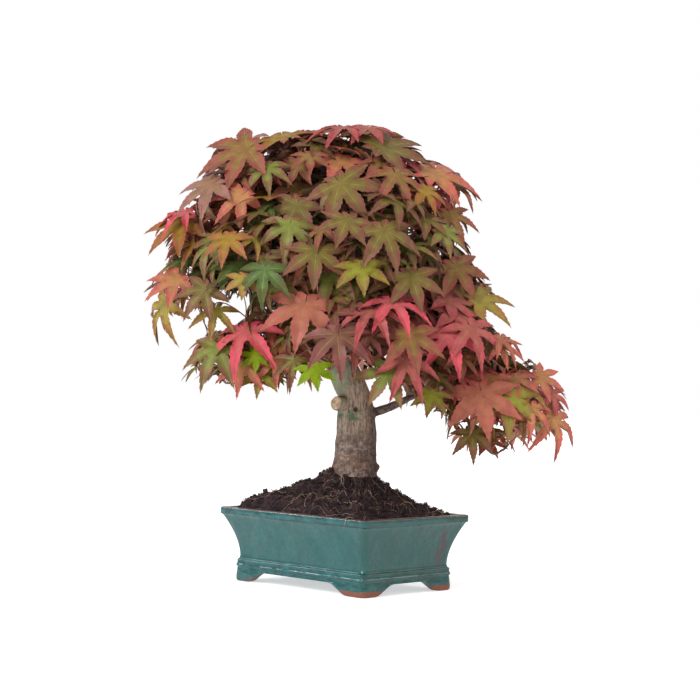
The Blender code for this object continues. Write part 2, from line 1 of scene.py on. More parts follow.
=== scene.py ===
"""Looks of a japanese maple bonsai in autumn leaf: its glazed pot, soil, bark, twigs and leaves.

The tree has a frame of its own, in millimetres: x across the photographed view, y away from
the viewer and z up. TREE turns and moves it into the model's frame, in metres, and POT does
the same for the pot's frame, in which x runs along the pot's long side.
"""

import math
import random
from collections import namedtuple

import bmesh
import bpy
import numpy as np
from bpy.props import FloatProperty, FloatVectorProperty, IntProperty, PointerProperty
from mathutils import Matrix, Vector, noise
from mathutils.bvhtree import BVHTree


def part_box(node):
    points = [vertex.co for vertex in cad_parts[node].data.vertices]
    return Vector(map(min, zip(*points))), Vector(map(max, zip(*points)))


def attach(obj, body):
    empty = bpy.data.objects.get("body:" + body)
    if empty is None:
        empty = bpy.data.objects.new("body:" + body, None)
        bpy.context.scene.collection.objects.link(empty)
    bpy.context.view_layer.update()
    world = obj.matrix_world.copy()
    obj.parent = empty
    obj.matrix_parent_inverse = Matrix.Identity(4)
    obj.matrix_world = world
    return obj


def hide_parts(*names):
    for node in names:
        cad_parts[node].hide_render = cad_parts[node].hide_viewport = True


bl_info = {
    "name": "Maple bonsai",
    "version": (1, 0, 0),
    "blender": (4, 5, 0),
    "location": "View3D > Sidebar > Bonsai",
    "description": "Dresses a potted maple bonsai with glaze, soil, bark, twigs and autumn leaves",
    "category": "Add Mesh",
}

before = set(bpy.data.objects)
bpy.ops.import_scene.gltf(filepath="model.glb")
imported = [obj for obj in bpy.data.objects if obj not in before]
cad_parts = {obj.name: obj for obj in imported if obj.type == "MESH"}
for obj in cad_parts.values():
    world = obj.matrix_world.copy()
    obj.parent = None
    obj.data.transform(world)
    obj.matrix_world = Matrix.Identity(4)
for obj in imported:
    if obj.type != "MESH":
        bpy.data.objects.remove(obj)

MM = 0.001
SEED = 11
UP = Vector((0.0, 0.0, 1.0))

# The pot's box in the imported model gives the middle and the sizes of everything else
POT_LOW, POT_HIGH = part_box("pot")
POT_MIDDLE = (POT_LOW + POT_HIGH) / 2
POT_LENGTH = (POT_HIGH.x - POT_LOW.x) / MM
POT_WIDTH = (POT_HIGH.y - POT_LOW.y) / MM
POT_HEIGHT = POT_HIGH.z / MM
TREE_TURN = math.radians(45.54)
POT = Matrix.Translation((POT_MIDDLE.x, POT_MIDDLE.y, 0.0)) @ Matrix.Scale(MM, 4)
TURN = Matrix.Rotation(TREE_TURN, 4, "Z")
TREE = POT @ TURN

# Camera, as fitted to the pot's edges in the photograph, and that photograph's frame
PHOTO_SIZE = 700
CAMERA_DISTANCE = 1656.2
CAMERA_HEIGHT = 192.8
CAMERA_PITCH = math.radians(1.231)
CAMERA_YAW = math.radians(-0.119)
CAMERA_ROLL = math.radians(1.203)
FOCAL_PIXELS = 1700.0
SENSOR_WIDTH = 36.0
CROWN_BEAM = math.radians(28.0)

# Pot, as in the model's source
POT_CORNER = 5.0
WALL_FOOT = 24.5
WALL_HEAD = 64.4
WALL_INSET_FOOT = 14.2
WALL_INSET_HEAD = 1.8
WALL_CURVE = 1.7
WALL_THICKNESS = 7.5
FLOOR_TOP = 18.5
FLOOR_UNDERSIDE = 11.0
SKIRT_INSET = 11.7
BELT = (14.6, 21.8)
BELT_DEPTH = 0.8
BELT_EDGE = 0.7
BEAD_HEIGHTS = (15.8, 20.6)
BEAD_SIZE = 0.45
BEAD_WIDTH = 0.95
SKIRT_STEP = 0.45
FOOT_FLAT = 17.0
FRONT_FOOT_MORE = 6.0
FOOT_CURVE = 24.0
FOOT_HEIGHT = 10.5
FOOT_THICKNESS = 9.0
LIP = 0.9
STAIN = (POT_LENGTH / 2 - 10.0, POT_WIDTH / 2 - 29.0, 41.0)
STAIN_REACH = (16.0, 9.0, 30.0)
GLAZED_FOOT = (-0.100, -0.075)
# Painted shade: where the duller, darker glaze of the side away from the lights starts and where it is full,
# across the tree's frame in metres
PAINTED_SHADE_SIDE = (0.004, 0.030)
# Painted sheen: where the bluer spots of the lit long side start and where they are full, across the tree's
# frame in metres
PAINTED_SHEEN_SIDE = (0.060, -0.020)
# Bands in height, in metres, that hold the glaze's darker pools of thick glaze and the painted sheen
POOL_AND_SHEEN_BANDS = ((0.005, 0.0225), (0.0655, 0.0715))
CORNER_STEPS = 8
LONG_STEPS = 46
SHORT_STEPS = 34
DRAIN_DIAMETER = 16.0
DRAIN_SPACING = 80.0
WARP = 0.22
WARP_WIDTH = 34.0

# Soil
GROUND = 106.0
SOIL_EDGE = 68.6
SOIL_RIM_GAP = 9.5
SOIL_SEAT_RADIUS = 22.0
SOIL_SHOULDER = 5.5
SOIL_SHOULDER_PLACE = 0.22
SOIL_SHOULDER_WIDTH = 0.16
SOIL_HOLLOW = 4.5
SOIL_CLUMP = 6.0
SOIL_CLUMP_WIDTH = 0.10
SOIL_STEPS = 54
# Crumbs: least and greatest radius of a size, and its share of a hundred
CRUMB_SIZES = ((0.4, 1.0, 75), (1.0, 1.7, 21), (1.7, 2.8, 4))
MOSS = (0.16, 0.15, 0.03)
FIBRE_KNOTS = 10
SOIL_TOP = 0.97

# Trunk, as centre across, centre back, height and diameter
TRUNK = ((9.8, 0.0, GROUND, 46.0), (10.2, 0.0, 112.0, 42.7), (10.9, 0.0, 128.0, 40.2),
         (11.3, 0.0, 148.0, 39.4), (10.6, -1.0, 167.0, 36.4), (8.5, -2.0, 183.0, 31.5),
         (2.5, -3.0, 198.0, 30.5), (-5.0, -4.0, 213.0, 29.5), (-11.5, -4.0, 227.0, 28.0),
         (-18.5, -2.0, 247.0, 25.5), (-22.0, 2.0, 269.0, 22.5), (-18.5, 6.0, 292.0, 19.5),
         (-8.0, 8.0, 315.0, 16.5), (3.0, 5.0, 337.0, 13.5), (8.0, 0.0, 358.0, 10.5),
         (6.0, -2.0, 378.0, 8.0))
TRUNK_SIDES = 48
TRUNK_RINGS = 90
ROOT_LOBES = 5
ROOT_FLARE = 0.10
ROOT_FADE = 14.0
STUB_BASE = Vector((3.0, -6.0, 174.0))
STUB_END = Vector((-9.5, -21.5, 177.0))
STUB_RADIUS = 7.2
SCAR = Vector((10.0, -18.5, 171.0))
SCAR_RADIUS = 2.2
SCAR_DEPTH = 2.4
ROOT_KNOB = Vector((30.5, -6.0, 115.0))
ROOT_KNOB_RADIUS = 4.4
BROWN_SIDE = 14.0
BROWN_WIDTH = 17.0
SHADED_SIDE = (0.015, 0.030)
ALGAE_EDGE = (0.020, 0.013)
COLLAR = 1.35
COLLAR_FADE = 5.0
BOUGH_SIDES = 20
BOUGH_RINGS = 16

# Boughs, each as its route across, back and up, then root and tip diameter
Bough = namedtuple("Bough", "route root tip")
BOUGHS = {
    "upper_left": Bough(((-9, 8, 312), (-30, 2, 330), (-54, -8, 350)), 9.0, 4.6),
    "upper_right": Bough(((4, 3, 345), (20, 0, 350), (38, -6, 358)), 8.0, 4.4),
    "upper_front": Bough(((-17, 5, 292), (-6, -22, 306), (8, -44, 320)), 9.0, 4.6),
    "upper_back": Bough(((0, 7, 325), (6, 30, 335), (8, 48, 342)), 8.0, 4.4),
    "left": Bough(((-21, 0, 264), (-58, 4, 284), (-100, -4, 296)), 10.0, 4.6),
    "left_front": Bough(((-21, 2, 272), (-36, -20, 284), (-54, -42, 292)), 9.0, 4.6),
    "right": Bough(((-19, 5, 284), (18, 2, 290), (58, -8, 288)), 9.5, 4.6),
    "right_front": Bough(((-16, -2, 240), (22, -16, 240), (62, -32, 232)), 9.5, 4.6),
    "lower_left": Bough(((-10, -4, 222), (-32, -20, 232), (-52, -30, 232)), 9.5, 4.8),
    "lower_right": Bough(((14, -1, 163), (44, -3, 174), (68, -6, 185), (98, -12, 189)), 8.6, 4.8),
    "lower_front": Bough(((-14, -3, 234), (-12, -34, 244), (-6, -56, 244)), 9.0, 4.6),
    "back_left": Bough(((-19, 0, 250), (-40, 24, 262), (-62, 46, 268)), 9.5, 4.6),
    "back_right": Bough(((-12, -3, 229), (18, 26, 236), (46, 48, 240)), 9.5, 4.6),
    "back": Bough(((-21, 3, 275), (-14, 36, 280), (-8, 62, 284)), 9.0, 4.6),
}

# Masses of leaves: centre and reach across, back and up, then how often each tint turns up
Mass = namedtuple("Mass", "centre reach tints")
MASSES = {
    "apex": Mass((-12, -2, 400), (98, 80, 52),
         {"crimson": 3, "salmon": 4, "rust": 3, "bronze": 3, "olive": 2, "orange": 3}),
    "upper_left": Mass((-96, -14, 367), (65, 74, 66),
         {"bronze": 4, "olive": 3, "mauve": 3, "orange": 2, "rust": 1}),
    "upper_right": Mass((65, -8, 364), (54, 70, 60),
         {"crimson": 3, "salmon": 2, "bronze": 4, "olive": 3, "orange": 2, "rust": 2}),
    "upper_front": Mass((18, -84, 326), (76, 66, 70),
         {"olive": 6, "bronze": 3, "leaf_green": 1, "wine": 1}),
    "upper_back": Mass((8, 86, 345), (88, 62, 68),
         {"olive": 4, "bronze": 4, "crimson": 2}),
    "left": Mass((-142, 2, 292), (58, 62, 78),
         {"salmon": 3, "orange": 2, "bronze": 2, "yellow": 2, "mauve": 3, "leaf_green": 2}),
    "left_front": Mass((-74, -74, 304), (68, 60, 66),
         {"olive": 4, "green": 2, "leaf_green": 2, "bronze": 2, "orange": 2, "yellow": 1}),
    "right": Mass((94, -4, 288), (54, 72, 54),
         {"bronze": 4, "olive": 3, "leaf_green": 4, "yellow": 2, "orange": 3}),
    "right_front": Mass((98, -58, 226), (62, 58, 52),
         {"crimson": 3, "salmon": 2, "rust": 1, "bronze": 3, "olive": 3, "leaf_green": 3}),
    "lower_left": Mass((-92, -40, 225), (74, 62, 44),
         {"salmon": 3, "leaf_green": 5, "yellow": 5, "lime": 6, "orange": 2}),
    "lower_right": Mass((147, -10, 177), (73, 66, 47),
         {"rust": 1, "salmon": 4, "leaf_green": 4, "orange": 3, "yellow": 3}),
    "lower_front": Mass((10, -98, 236), (74, 60, 58),
         {"wine": 3, "bronze": 3, "rust": 2, "olive": 2, "leaf_green": 2}),
    "back_left": Mass((-96, 82, 272), (76, 64, 66),
         {"olive": 4, "leaf_green": 3, "bronze": 3, "salmon": 1}),
    "back_right": Mass((92, 78, 248), (74, 64, 70),
         {"bronze": 4, "olive": 3, "crimson": 2, "orange": 1}),
    "back": Mass((0, 112, 262), (62, 54, 62),
         {"olive": 4, "bronze": 3, "crimson": 2, "green": 1}),
}
MASS_CENTRES = np.array([mass.centre for mass in MASSES.values()], float)
MASS_REACHES = np.array([mass.reach for mass in MASSES.values()], float)
MASS_NAMES = list(MASSES)
MASS_NODES = ["leaves_" + name for name in MASSES]
CROWN_HEART = Vector((0.0, 0.0, 285.0))
OUTLYING_HEART = Vector((118.0, -10.0, 176.0))
OUTLYING_MASS = "lower_right"
# Tints deep inside the crown: greener, and darker there as painted shade
INNER_TINTS = {"dark_green": 3, "green": 2, "olive": 4, "bronze": 1}
INNER_DEPTH = 30.0

# Patches of sky, trunk and bough that the photograph shows among the leaves, as pixel, half width
# and half height
SKY_GAPS = ((234, 308, 14, 15), (270, 335, 7, 6), (291, 353, 6, 5), (214, 300, 8, 7),
            (337, 368, 11, 12), (350, 388, 16, 14), (352, 412, 24, 14), (398, 406, 20, 9),
            (192, 323, 24, 12), (226, 318, 16, 12), (166, 352, 20, 28), (142, 262, 20, 17),
            (240, 405, 76, 21), (325, 103, 70, 21), (255, 154, 6, 4), (192, 270, 5, 6), (413, 230, 7, 9),
            (486, 198, 21, 30), (494, 258, 20, 20), (504, 320, 16, 14), (372, 380, 8, 14), (392, 393, 10, 7),
            (543, 462, 34, 18), (582, 410, 15, 44), (428, 426, 16, 16), (455, 140, 34, 17),
            (192, 160, 10, 20))

# Tints: colour of the vein, of the blade's heart, its middle and its edge, each in linear light
Tint = namedtuple("Tint", "family vein heart mid edge")
TINTS = {
    # Painted shade: the darkest green, kept for leaves deep inside the crown
    "dark_green": Tint("green", "pale", (0.055, 0.085, 0.022), (0.050, 0.070, 0.020), (0.060, 0.058, 0.022)),
    "green": Tint("green", "pale", (0.085, 0.150, 0.034), (0.085, 0.125, 0.030), (0.120, 0.100, 0.036)),
    "leaf_green": Tint("green", "pale", (0.190, 0.215, 0.038), (0.196, 0.155, 0.044), (0.236, 0.097, 0.052)),
    "bright_green": Tint("green", "pale", (0.220, 0.330, 0.004), (0.205, 0.300, 0.003), (0.220, 0.310, 0.004)),
    "lime": Tint("green", "pale", (0.280, 0.275, 0.030), (0.270, 0.215, 0.034), (0.270, 0.142, 0.043)),
    "olive": Tint("olive", "pale", (0.180, 0.134, 0.030), (0.185, 0.099, 0.038), (0.209, 0.067, 0.046)),
    "yellow": Tint("olive", "pale", (0.335, 0.260, 0.042), (0.335, 0.204, 0.044), (0.345, 0.142, 0.050)),
    "mauve": Tint("olive", "pale", (0.290, 0.150, 0.085), (0.310, 0.148, 0.115), (0.320, 0.132, 0.115)),
    "bronze": Tint("bronze", "pale", (0.250, 0.135, 0.040), (0.265, 0.094, 0.050), (0.300, 0.074, 0.056)),
    "orange": Tint("bronze", "pale", (0.310, 0.175, 0.020), (0.315, 0.130, 0.030), (0.330, 0.100, 0.042)),
    "rust": Tint("bronze", "rosy", (0.400, 0.136, 0.078), (0.400, 0.120, 0.078), (0.410, 0.105, 0.076)),
    "salmon": Tint("bronze", "rosy", (0.460, 0.212, 0.080), (0.490, 0.148, 0.091), (0.520, 0.115, 0.091)),
    "wine": Tint("crimson", "rosy", (0.180, 0.084, 0.047), (0.205, 0.072, 0.055), (0.240, 0.064, 0.062)),
    "crimson": Tint("crimson", "rosy", (0.375, 0.104, 0.080), (0.415, 0.086, 0.082), (0.440, 0.076, 0.082)),
    "pink": Tint("crimson", "rosy", (0.580, 0.112, 0.118), (0.620, 0.088, 0.112), (0.640, 0.076, 0.110)),
}
VEINS = {"pale": (0.300, 0.235, 0.080), "rosy": (0.460, 0.160, 0.095)}
ZONES = ("vein", "heart", "mid", "edge")

# Lobe: its angle, its length as a share of the middle one, and the reach of the notch before and after it
Lobe = namedtuple("Lobe", "angle length before after")
LOBES = (Lobe(0, 1.00, 0.28, 0.28), Lobe(49, 0.97, 0.28, 0.25), Lobe(98, 0.78, 0.25, 0.17),
         Lobe(146, 0.36, 0.17, 0.06))
NOTCH_ANGLES = (24.5, 73.5, 121.0, 172.0)
LOBE_HALF_WIDTH = 0.158
LOBE_SHAPE = ((0.0, 0.45), (0.28, 0.80), (0.46, 1.00), (0.58, 0.94), (0.72, 0.64), (0.86, 0.26), (1.0, 0.0))
TOOTH = 0.019
TOOTH_SLOPE = 0.75
VEIN_HALF_WIDTH = 0.008
LEAF_CENTRE = 0.3
LEAF_CORE = 0.80
LEAF_SWING = math.radians(70.0)
LEAF_SHRINK = 0.04
LEAF_REACH = 1.09
CROWN_CORE = 30.0
SPRAY = 4
TWIG_DEPTHS = (20.0, 13.0, 28.0)
LEAF_PUSH = (0.0, 0.0, 4.0, 4.0, 9.0, 9.0, 15.0, 15.0)
# Ways a leaf is held: droop of its lobes, fold along each vein, curl of the tips and width of the lobes
Form = namedtuple("Form", "droop fold curl width")
FORMS = (Form(0.14, 0.20, 0.06, 1.00), Form(0.24, 0.28, 0.08, 0.95), Form(0.07, 0.14, 0.10, 1.06),
         Form(0.36, 0.50, 0.12, 0.74))

# Leaves that stand out in the photograph: pixel of the stalk's end, length of the middle lobe in
# millimetres, its turn from straight down towards the right, how far the blade's face is raised
# and turned to the right, in degrees, tint and form
Shown = namedtuple("Shown", "across down lobe turn raised aside tint form")
SHOWN_LEAVES = (
    Shown(405, 361, 38, 34, 12, 8, "crimson", 3),
    Shown(389, 371, 37, -33, 8, 4, "leaf_green", 1),
    Shown(166, 303, 41, -36, 0, -40, "yellow", 3),
    Shown(553, 418, 37, 20, 10, 24, "salmon", 3),
    Shown(305, 304, 47, -12, 12, 0, "rust", 0),
    Shown(340, 183, 45, 40, 8, 0, "olive", 0),
    Shown(297, 204, 36, -24, 10, -8, "olive", 2),
    Shown(316, 250, 42, -2, 14, 0, "olive", 0),
    Shown(361, 266, 32, 8, 18, 0, "lime", 2),
    Shown(411, 276, 37, 20, 10, 10, "olive", 0),
    Shown(384, 230, 42, 26, 12, 14, "olive", 1),
    Shown(347, 220, 32, -22, 16, 0, "olive", 2),
    Shown(382, 161, 30, 24, 30, 10, "bronze", 1),
    Shown(310, 155, 26, 4, 28, 0, "bronze", 0),
    Shown(266, 167, 33, 8, 24, -10, "leaf_green", 1),
    Shown(228, 238, 32, -14, 18, -14, "orange", 0),
    Shown(290, 224, 36, -10, 12, 0, "leaf_green", 1),
    Shown(265, 269, 36, -8, 10, -10, "green", 1),
    Shown(247, 148, 55, -68, 20, -12, "bronze", 0),
    Shown(212, 184, 45, -58, 26, -20, "mauve", 1),
    Shown(205, 289, 35, -40, 10, -10, "olive", 1),
    Shown(177, 279, 37, -62, 26, -10, "salmon", 0),
    Shown(246, 330, 50, -26, 30, -20, "pink", 3),
    Shown(218, 348, 42, -30, 14, -12, "leaf_green", 1),
    Shown(314, 368, 24, 12, 10, 0, "bright_green", 2),
    Shown(396, 174, 44, 30, 26, 18, "bronze", 3),
    Shown(424, 189, 30, 34, 26, 22, "orange", 1),
    Shown(443, 231, 30, 62, 20, 20, "leaf_green", 1),
    Shown(455, 266, 38, 36, 14, 14, "bronze", 0),
    Shown(477, 299, 42, 94, 30, 8, "yellow", 1),
    Shown(393, 301, 44, 38, 40, 6, "pink", 3),
    Shown(372, 311, 42, -44, 44, -4, "crimson", 3),
    Shown(449, 334, 42, 20, 14, 6, "pink", 3),
    Shown(470, 327, 42, 26, 20, 14, "crimson", 3),
    Shown(481, 392, 48, 10, 6, 4, "rust", 0),
    Shown(409, 334, 42, 16, 14, 6, "bronze", 0),
    Shown(337, 334, 42, 8, 14, 0, "wine", 1),
    Shown(539, 377, 28, 72, 18, 10, "salmon", 1),
    Shown(472, 433, 29, 4, 6, 0, "olive", 1),
    Shown(531, 407, 32, 0, 14, 8, "salmon", 3),
    Shown(507, 394, 45, 4, 12, 8, "lime", 1),
    Shown(399, 156, 28, 62, 34, 12, "crimson", 1),
    Shown(431, 175, 56, 121, 34, 8, "salmon", 1),
    Shown(368, 127, 36, -56, 50, 0, "crimson", 1),
    Shown(456, 184, 30, 50, 30, 20, "bronze", 3),
    Shown(345, 127, 42, -86, 54, 0, "crimson", 3),
    Shown(381, 148, 55, 111, 34, 8, "olive", 2),
    Shown(181, 223, 44, -52, 26, -14, "orange", 1),
    Shown(186, 212, 36, -84, 44, -10, "pink", 3),
    Shown(284, 137, 50, -113, 46, -10, "orange", 1),
    Shown(450, 214, 35, 32, 16, 14, "bronze", 3),
    Shown(499, 339, 28, 84, 36, 10, "rust", 3),
    Shown(242, 195, 36, -51, 14, -6, "salmon", 1),
    Shown(215, 309, 31, -8, 10, 0, "yellow", 3),
    Shown(244, 278, 22, -4, 6, 0, "yellow", 2),
    Shown(243, 364, 32, -12, 6, -6, "salmon", 3),
    Shown(260, 372, 26, -6, 10, 0, "lime", 1),
    Shown(275, 361, 25, 6, 6, 0, "salmon", 3),
    Shown(294, 360, 28, -8, 6, 0, "olive", 3),
    Shown(257, 356, 19, -56, 10, 0, "bright_green", 2),
    Shown(551, 393, 26, 22, 10, 24, "crimson", 3),
    Shown(432, 394, 24, -14, 6, 0, "lime", 2),
    Shown(500, 345, 26, 70, 20, 0, "salmon", 3),
)
SHOWN_SINKS = (2.0, 7.0, 12.0, 17.0, 23.0, 30.0, 38.0, 47.0)
SHOWN_RAISE = 20.0
SHOWN_REACH = 1.5

Leaf = namedtuple("Leaf", "joint normal ahead lobe form tint tree points mass depth")


class PotSettings(bpy.types.PropertyGroup):
    """Colours of the pot's glaze and clay."""
    glaze: FloatVectorProperty(name="Glaze", description="Colour of the glaze where it is thick",
                               subtype="COLOR", size=3, default=(0.010, 0.103, 0.101))
    glaze_grey: FloatVectorProperty(name="Milky glaze", description="Colour of the glaze's greyer clouds",
                                    subtype="COLOR", size=3, default=(0.040, 0.135, 0.125))
    # Painted shade with a warm painted reflection: the duller green on the side away from the lights
    shade_side_glaze: FloatVectorProperty(name="Dull glaze", description="Duller green of the glaze on one side",
                                     subtype="COLOR", size=3, default=(0.024, 0.072, 0.058))
    # Painted sheen: the bluer, paler spots on the pot's lit long side
    painted_sheen_glaze: FloatVectorProperty(name="Pooled glaze", description="Bluer glaze that gathers in spots",
                                      subtype="COLOR", size=3, default=(0.028, 0.170, 0.200))
    thin_glaze: FloatVectorProperty(name="Thin glaze", description="Brown of the glaze where it runs thin",
                                    subtype="COLOR", size=3, default=(0.085, 0.045, 0.040))
    stain: FloatVectorProperty(name="Stain", description="Purple brown of the stain on one short side",
                               subtype="COLOR", size=3, default=(0.062, 0.038, 0.046))
    clay: FloatVectorProperty(name="Clay", description="Colour of the bare clay under the feet",
                              subtype="COLOR", size=3, default=(0.205, 0.068, 0.038))
    roughness: FloatProperty(name="Roughness", description="Roughness of the glaze",
                             subtype="FACTOR", min=0.0, max=1.0, default=0.09)


class SoilSettings(bpy.types.PropertyGroup):
    """Colours and grain of the soil."""
    dark: FloatVectorProperty(name="Moist soil", description="Colour of the moist soil",
                              subtype="COLOR", size=3, default=(0.0050, 0.0036, 0.0064))
    brown: FloatVectorProperty(name="Dry soil", description="Colour of the drier soil",
                               subtype="COLOR", size=3, default=(0.056, 0.027, 0.028))
    straw: FloatVectorProperty(name="Straw", description="Colour of the pale fibres",
                               subtype="COLOR", size=3, default=(0.560, 0.390, 0.270))
    lump: FloatProperty(name="Lump height", description="Height of the lumps in the soil's surface",
                        unit="LENGTH", default=0.0029)
    crumbs: IntProperty(name="Crumbs", description="Number of loose crumbs of soil", default=2600)
    fibres: IntProperty(name="Fibres", description="Number of fibres that lie on the soil", default=520)
    splinters: IntProperty(name="Splinters", description="Number of short dark splinters in it",
                           default=2600)


class BarkSettings(bpy.types.PropertyGroup):
    """Colours and relief of the bark."""
    brown: FloatVectorProperty(name="Bark", description="Colour of the old bark",
                               subtype="COLOR", size=3, default=(0.405, 0.266, 0.182))
    dark: FloatVectorProperty(name="Dark bark", description="Colour of the bark's creases",
                              subtype="COLOR", size=3, default=(0.090, 0.056, 0.044))
    pale: FloatVectorProperty(name="Pale bark", description="Colour of the bark's pale flecks",
                              subtype="COLOR", size=3, default=(0.560, 0.450, 0.360))
    # Also laid on as painted shade: at the trunk's foot and on its right side
    foot: FloatVectorProperty(name="Foot's bark", description="Purple brown of the rough bark low down",
                              subtype="COLOR", size=3, default=(0.080, 0.047, 0.044))
    rusty: FloatVectorProperty(name="Rusty bark", description="Orange brown of the fresh patches low down",
                               subtype="COLOR", size=3, default=(0.430, 0.210, 0.110))
    green: FloatVectorProperty(name="Green bark", description="Grey green of the younger bark",
                               subtype="COLOR", size=3, default=(0.242, 0.335, 0.190))
    algae: FloatVectorProperty(name="Algae", description="Green of the algae round the old scar",
                               subtype="COLOR", size=3, default=(0.085, 0.170, 0.095))
    wood: FloatVectorProperty(name="Cut wood", description="Colour of the pruned stub's cut",
                              subtype="COLOR", size=3, default=(0.780, 0.560, 0.360))
    voxel: FloatProperty(name="Grain of the mesh", description="Edge length of the bark's faces",
                         unit="LENGTH", default=0.001)


class LeafSettings(bpy.types.PropertyGroup):
    """Sizes and number of the leaves."""
    shortest: FloatProperty(name="Shortest lobe", description="Middle lobe of the smallest leaf",
                            unit="LENGTH", default=0.027)
    longest: FloatProperty(name="Longest lobe", description="Middle lobe of the largest leaf",
                           unit="LENGTH", default=0.044)
    spacing: FloatProperty(name="Spacing", description="Least distance between two leaves' middles",
                           unit="LENGTH", default=0.0185)
    inner_spacing: FloatProperty(name="Inner spacing", description="The same, deep in the crown",
                                 unit="LENGTH", default=0.023)
    sites: IntProperty(name="Sites", description="Number of directions in which a leaf is tried",
                       default=4200)


class StageSettings(bpy.types.PropertyGroup):
    """Floor and lights."""
    floor: FloatVectorProperty(name="Floor", description="Colour of the floor",
                               subtype="COLOR", size=3, default=(0.96, 0.96, 0.97))
    glow: FloatProperty(name="Floor glow", description="Light that the white table gives back", default=0.55)
    sky: FloatProperty(name="Sky", description="Strength of the even light from all round", default=0.66)
    sun: FloatProperty(name="Sun", description="Strength of the broad light", default=1.15)
    key: FloatProperty(name="Key light", description="Power of the lamp that shines on the glaze",
                       unit="POWER", default=10.0)


def linked(name, data):
    """New object for a mesh, curve, light or camera, linked to the scene."""
    item = bpy.data.objects.new(name, data)
    bpy.context.scene.collection.objects.link(item)
    return item


def plain_mesh(name, bm):
    """Mesh of the bmesh, which is freed."""
    mesh = bpy.data.meshes.new(name)
    bm.to_mesh(mesh)
    bm.free()
    return mesh


def darker(colour, share):
    """The colour with a share of its brightness."""
    return [share * part for part in colour]


def new_piece(name, mesh, materials, slot, *nodes):
    """Object for a finished mesh that rides on the body and stands for the given nodes."""
    piece = linked(name, mesh)
    for finish in materials:
        mesh.materials.append(finish)
    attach(piece, "root")
    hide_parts(*nodes)
    return piece


def to_mesh(name, bm, place, smooth=35.0):
    """Mesh of the bmesh put in its place, with its edges sharp above the smooth angle."""
    bmesh.ops.transform(bm, matrix=place, verts=bm.verts)
    mesh = plain_mesh(name, bm)
    mesh.shade_smooth()
    mesh.set_sharp_from_angle(angle=math.radians(smooth))
    return mesh


def evaluated_mesh(name, data, *modifiers):
    """Mesh of a mesh or curve with modifiers, each a type and its settings, applied in order."""
    scratch = linked(name, data)
    for kind, settings in modifiers:
        modifier = scratch.modifiers.new(kind.lower(), kind)
        for key, value in settings.items():
            setattr(modifier, key, value)
    bpy.context.view_layer.update()
    graph = bpy.context.evaluated_depsgraph_get()
    made = bpy.data.meshes.new_from_object(scratch.evaluated_get(graph))
    made.name = name
    bpy.data.objects.remove(scratch, do_unlink=True)
    return made


def sweep(rings):
    """Closed skin through rings of equal count, each one extruded from the ring before it."""
    bm = bmesh.new()
    order = bm.verts.layers.int.new("order")
    start = bmesh.ops.create_circle(bm, cap_ends=False, segments=len(rings[0]), radius=1.0)["verts"]
    for index, vertex in enumerate(start):
        vertex[order] = index
        vertex.co = rings[0][index]
    first = edges = bm.edges[:]
    for ring in rings[1:]:
        grown = bmesh.ops.extrude_edge_only(bm, edges=edges)["geom"]
        fresh = {item for item in grown if isinstance(item, bmesh.types.BMVert)}
        edges = [item for item in grown if isinstance(item, bmesh.types.BMEdge)
                 and item.verts[0] in fresh and item.verts[1] in fresh]
        for vertex in fresh:
            vertex.co = ring[vertex[order]]
    bmesh.ops.edgeloop_fill(bm, edges=first)
    bmesh.ops.edgeloop_fill(bm, edges=edges)
    bmesh.ops.recalc_face_normals(bm, faces=bm.faces)
    return bm


def smooth_route(points, count):
    """Evenly numbered points on a Catmull-Rom curve through the given ones, of any dimension."""
    knots = [Vector(point) for point in points]
    knots = [2 * knots[0] - knots[1], *knots, 2 * knots[-1] - knots[-2]]
    route = []
    for step in range(count + 1):
        place = step / count * (len(knots) - 3)
        span = min(int(place), len(knots) - 4)
        t = place - span
        a, b, c, d = knots[span:span + 4]
        route.append(0.5 * (2 * b + (c - a) * t + (2 * a - 5 * b + 4 * c - d) * t * t
                            + (3 * b - a - 3 * c + d) * t * t * t))
    return route


def limb(route, radii, sides, flat_start=False, swell=None):
    """Closed tapering limb with a ring square to its route at each point."""
    rings = []
    side = None
    for index, (place, radius) in enumerate(zip(route, radii)):
        ahead = route[min(index + 1, len(route) - 1)] - route[max(index - 1, 0)]
        if flat_start and index == 0:
            ahead = UP.copy()
        ahead.normalize()
        side = side or ahead.orthogonal()
        side = (side - ahead * side.dot(ahead)).normalized()
        other = ahead.cross(side)
        ring = []
        for step in range(sides):
            angle = math.tau * step / sides
            reach = radius * (swell(place, angle) if swell else 1.0)
            ring.append(place + reach * (math.cos(angle) * side + math.sin(angle) * other))
        rings.append(ring)
    return sweep(rings)


def add_mesh_of(bm, other):
    """Add another bmesh's geometry to bm, and free it."""
    scratch = plain_mesh("scratch", other)
    bm.from_mesh(scratch)
    bpy.data.meshes.remove(scratch)


def strand_mesh(name, strands, place, sides=1):
    """Mesh of round strands, each a list of points with the strand's radius there, in millimetres."""
    curve = bpy.data.curves.new(name, "CURVE")
    curve.dimensions = "3D"
    curve.bevel_depth = 1.0
    curve.bevel_resolution = sides
    curve.use_fill_caps = True
    for points in strands:
        spline = curve.splines.new("POLY")
        spline.points.add(len(points) - 1)
        for knot, (point, radius) in zip(spline.points, points):
            knot.co = (*point, 1.0)
            knot.radius = radius
    mesh = evaluated_mesh(name, curve)
    bpy.data.curves.remove(curve)
    mesh.transform(place)
    mesh.shade_smooth()
    return mesh


def nodes_of(tree):
    """Helpers that add a node to a node tree and link two sockets of it."""
    def add(kind, **settings):
        node = tree.nodes.new(kind)
        for key, value in settings.items():
            setattr(node, key, value)
        return node
    return add, tree.links.new


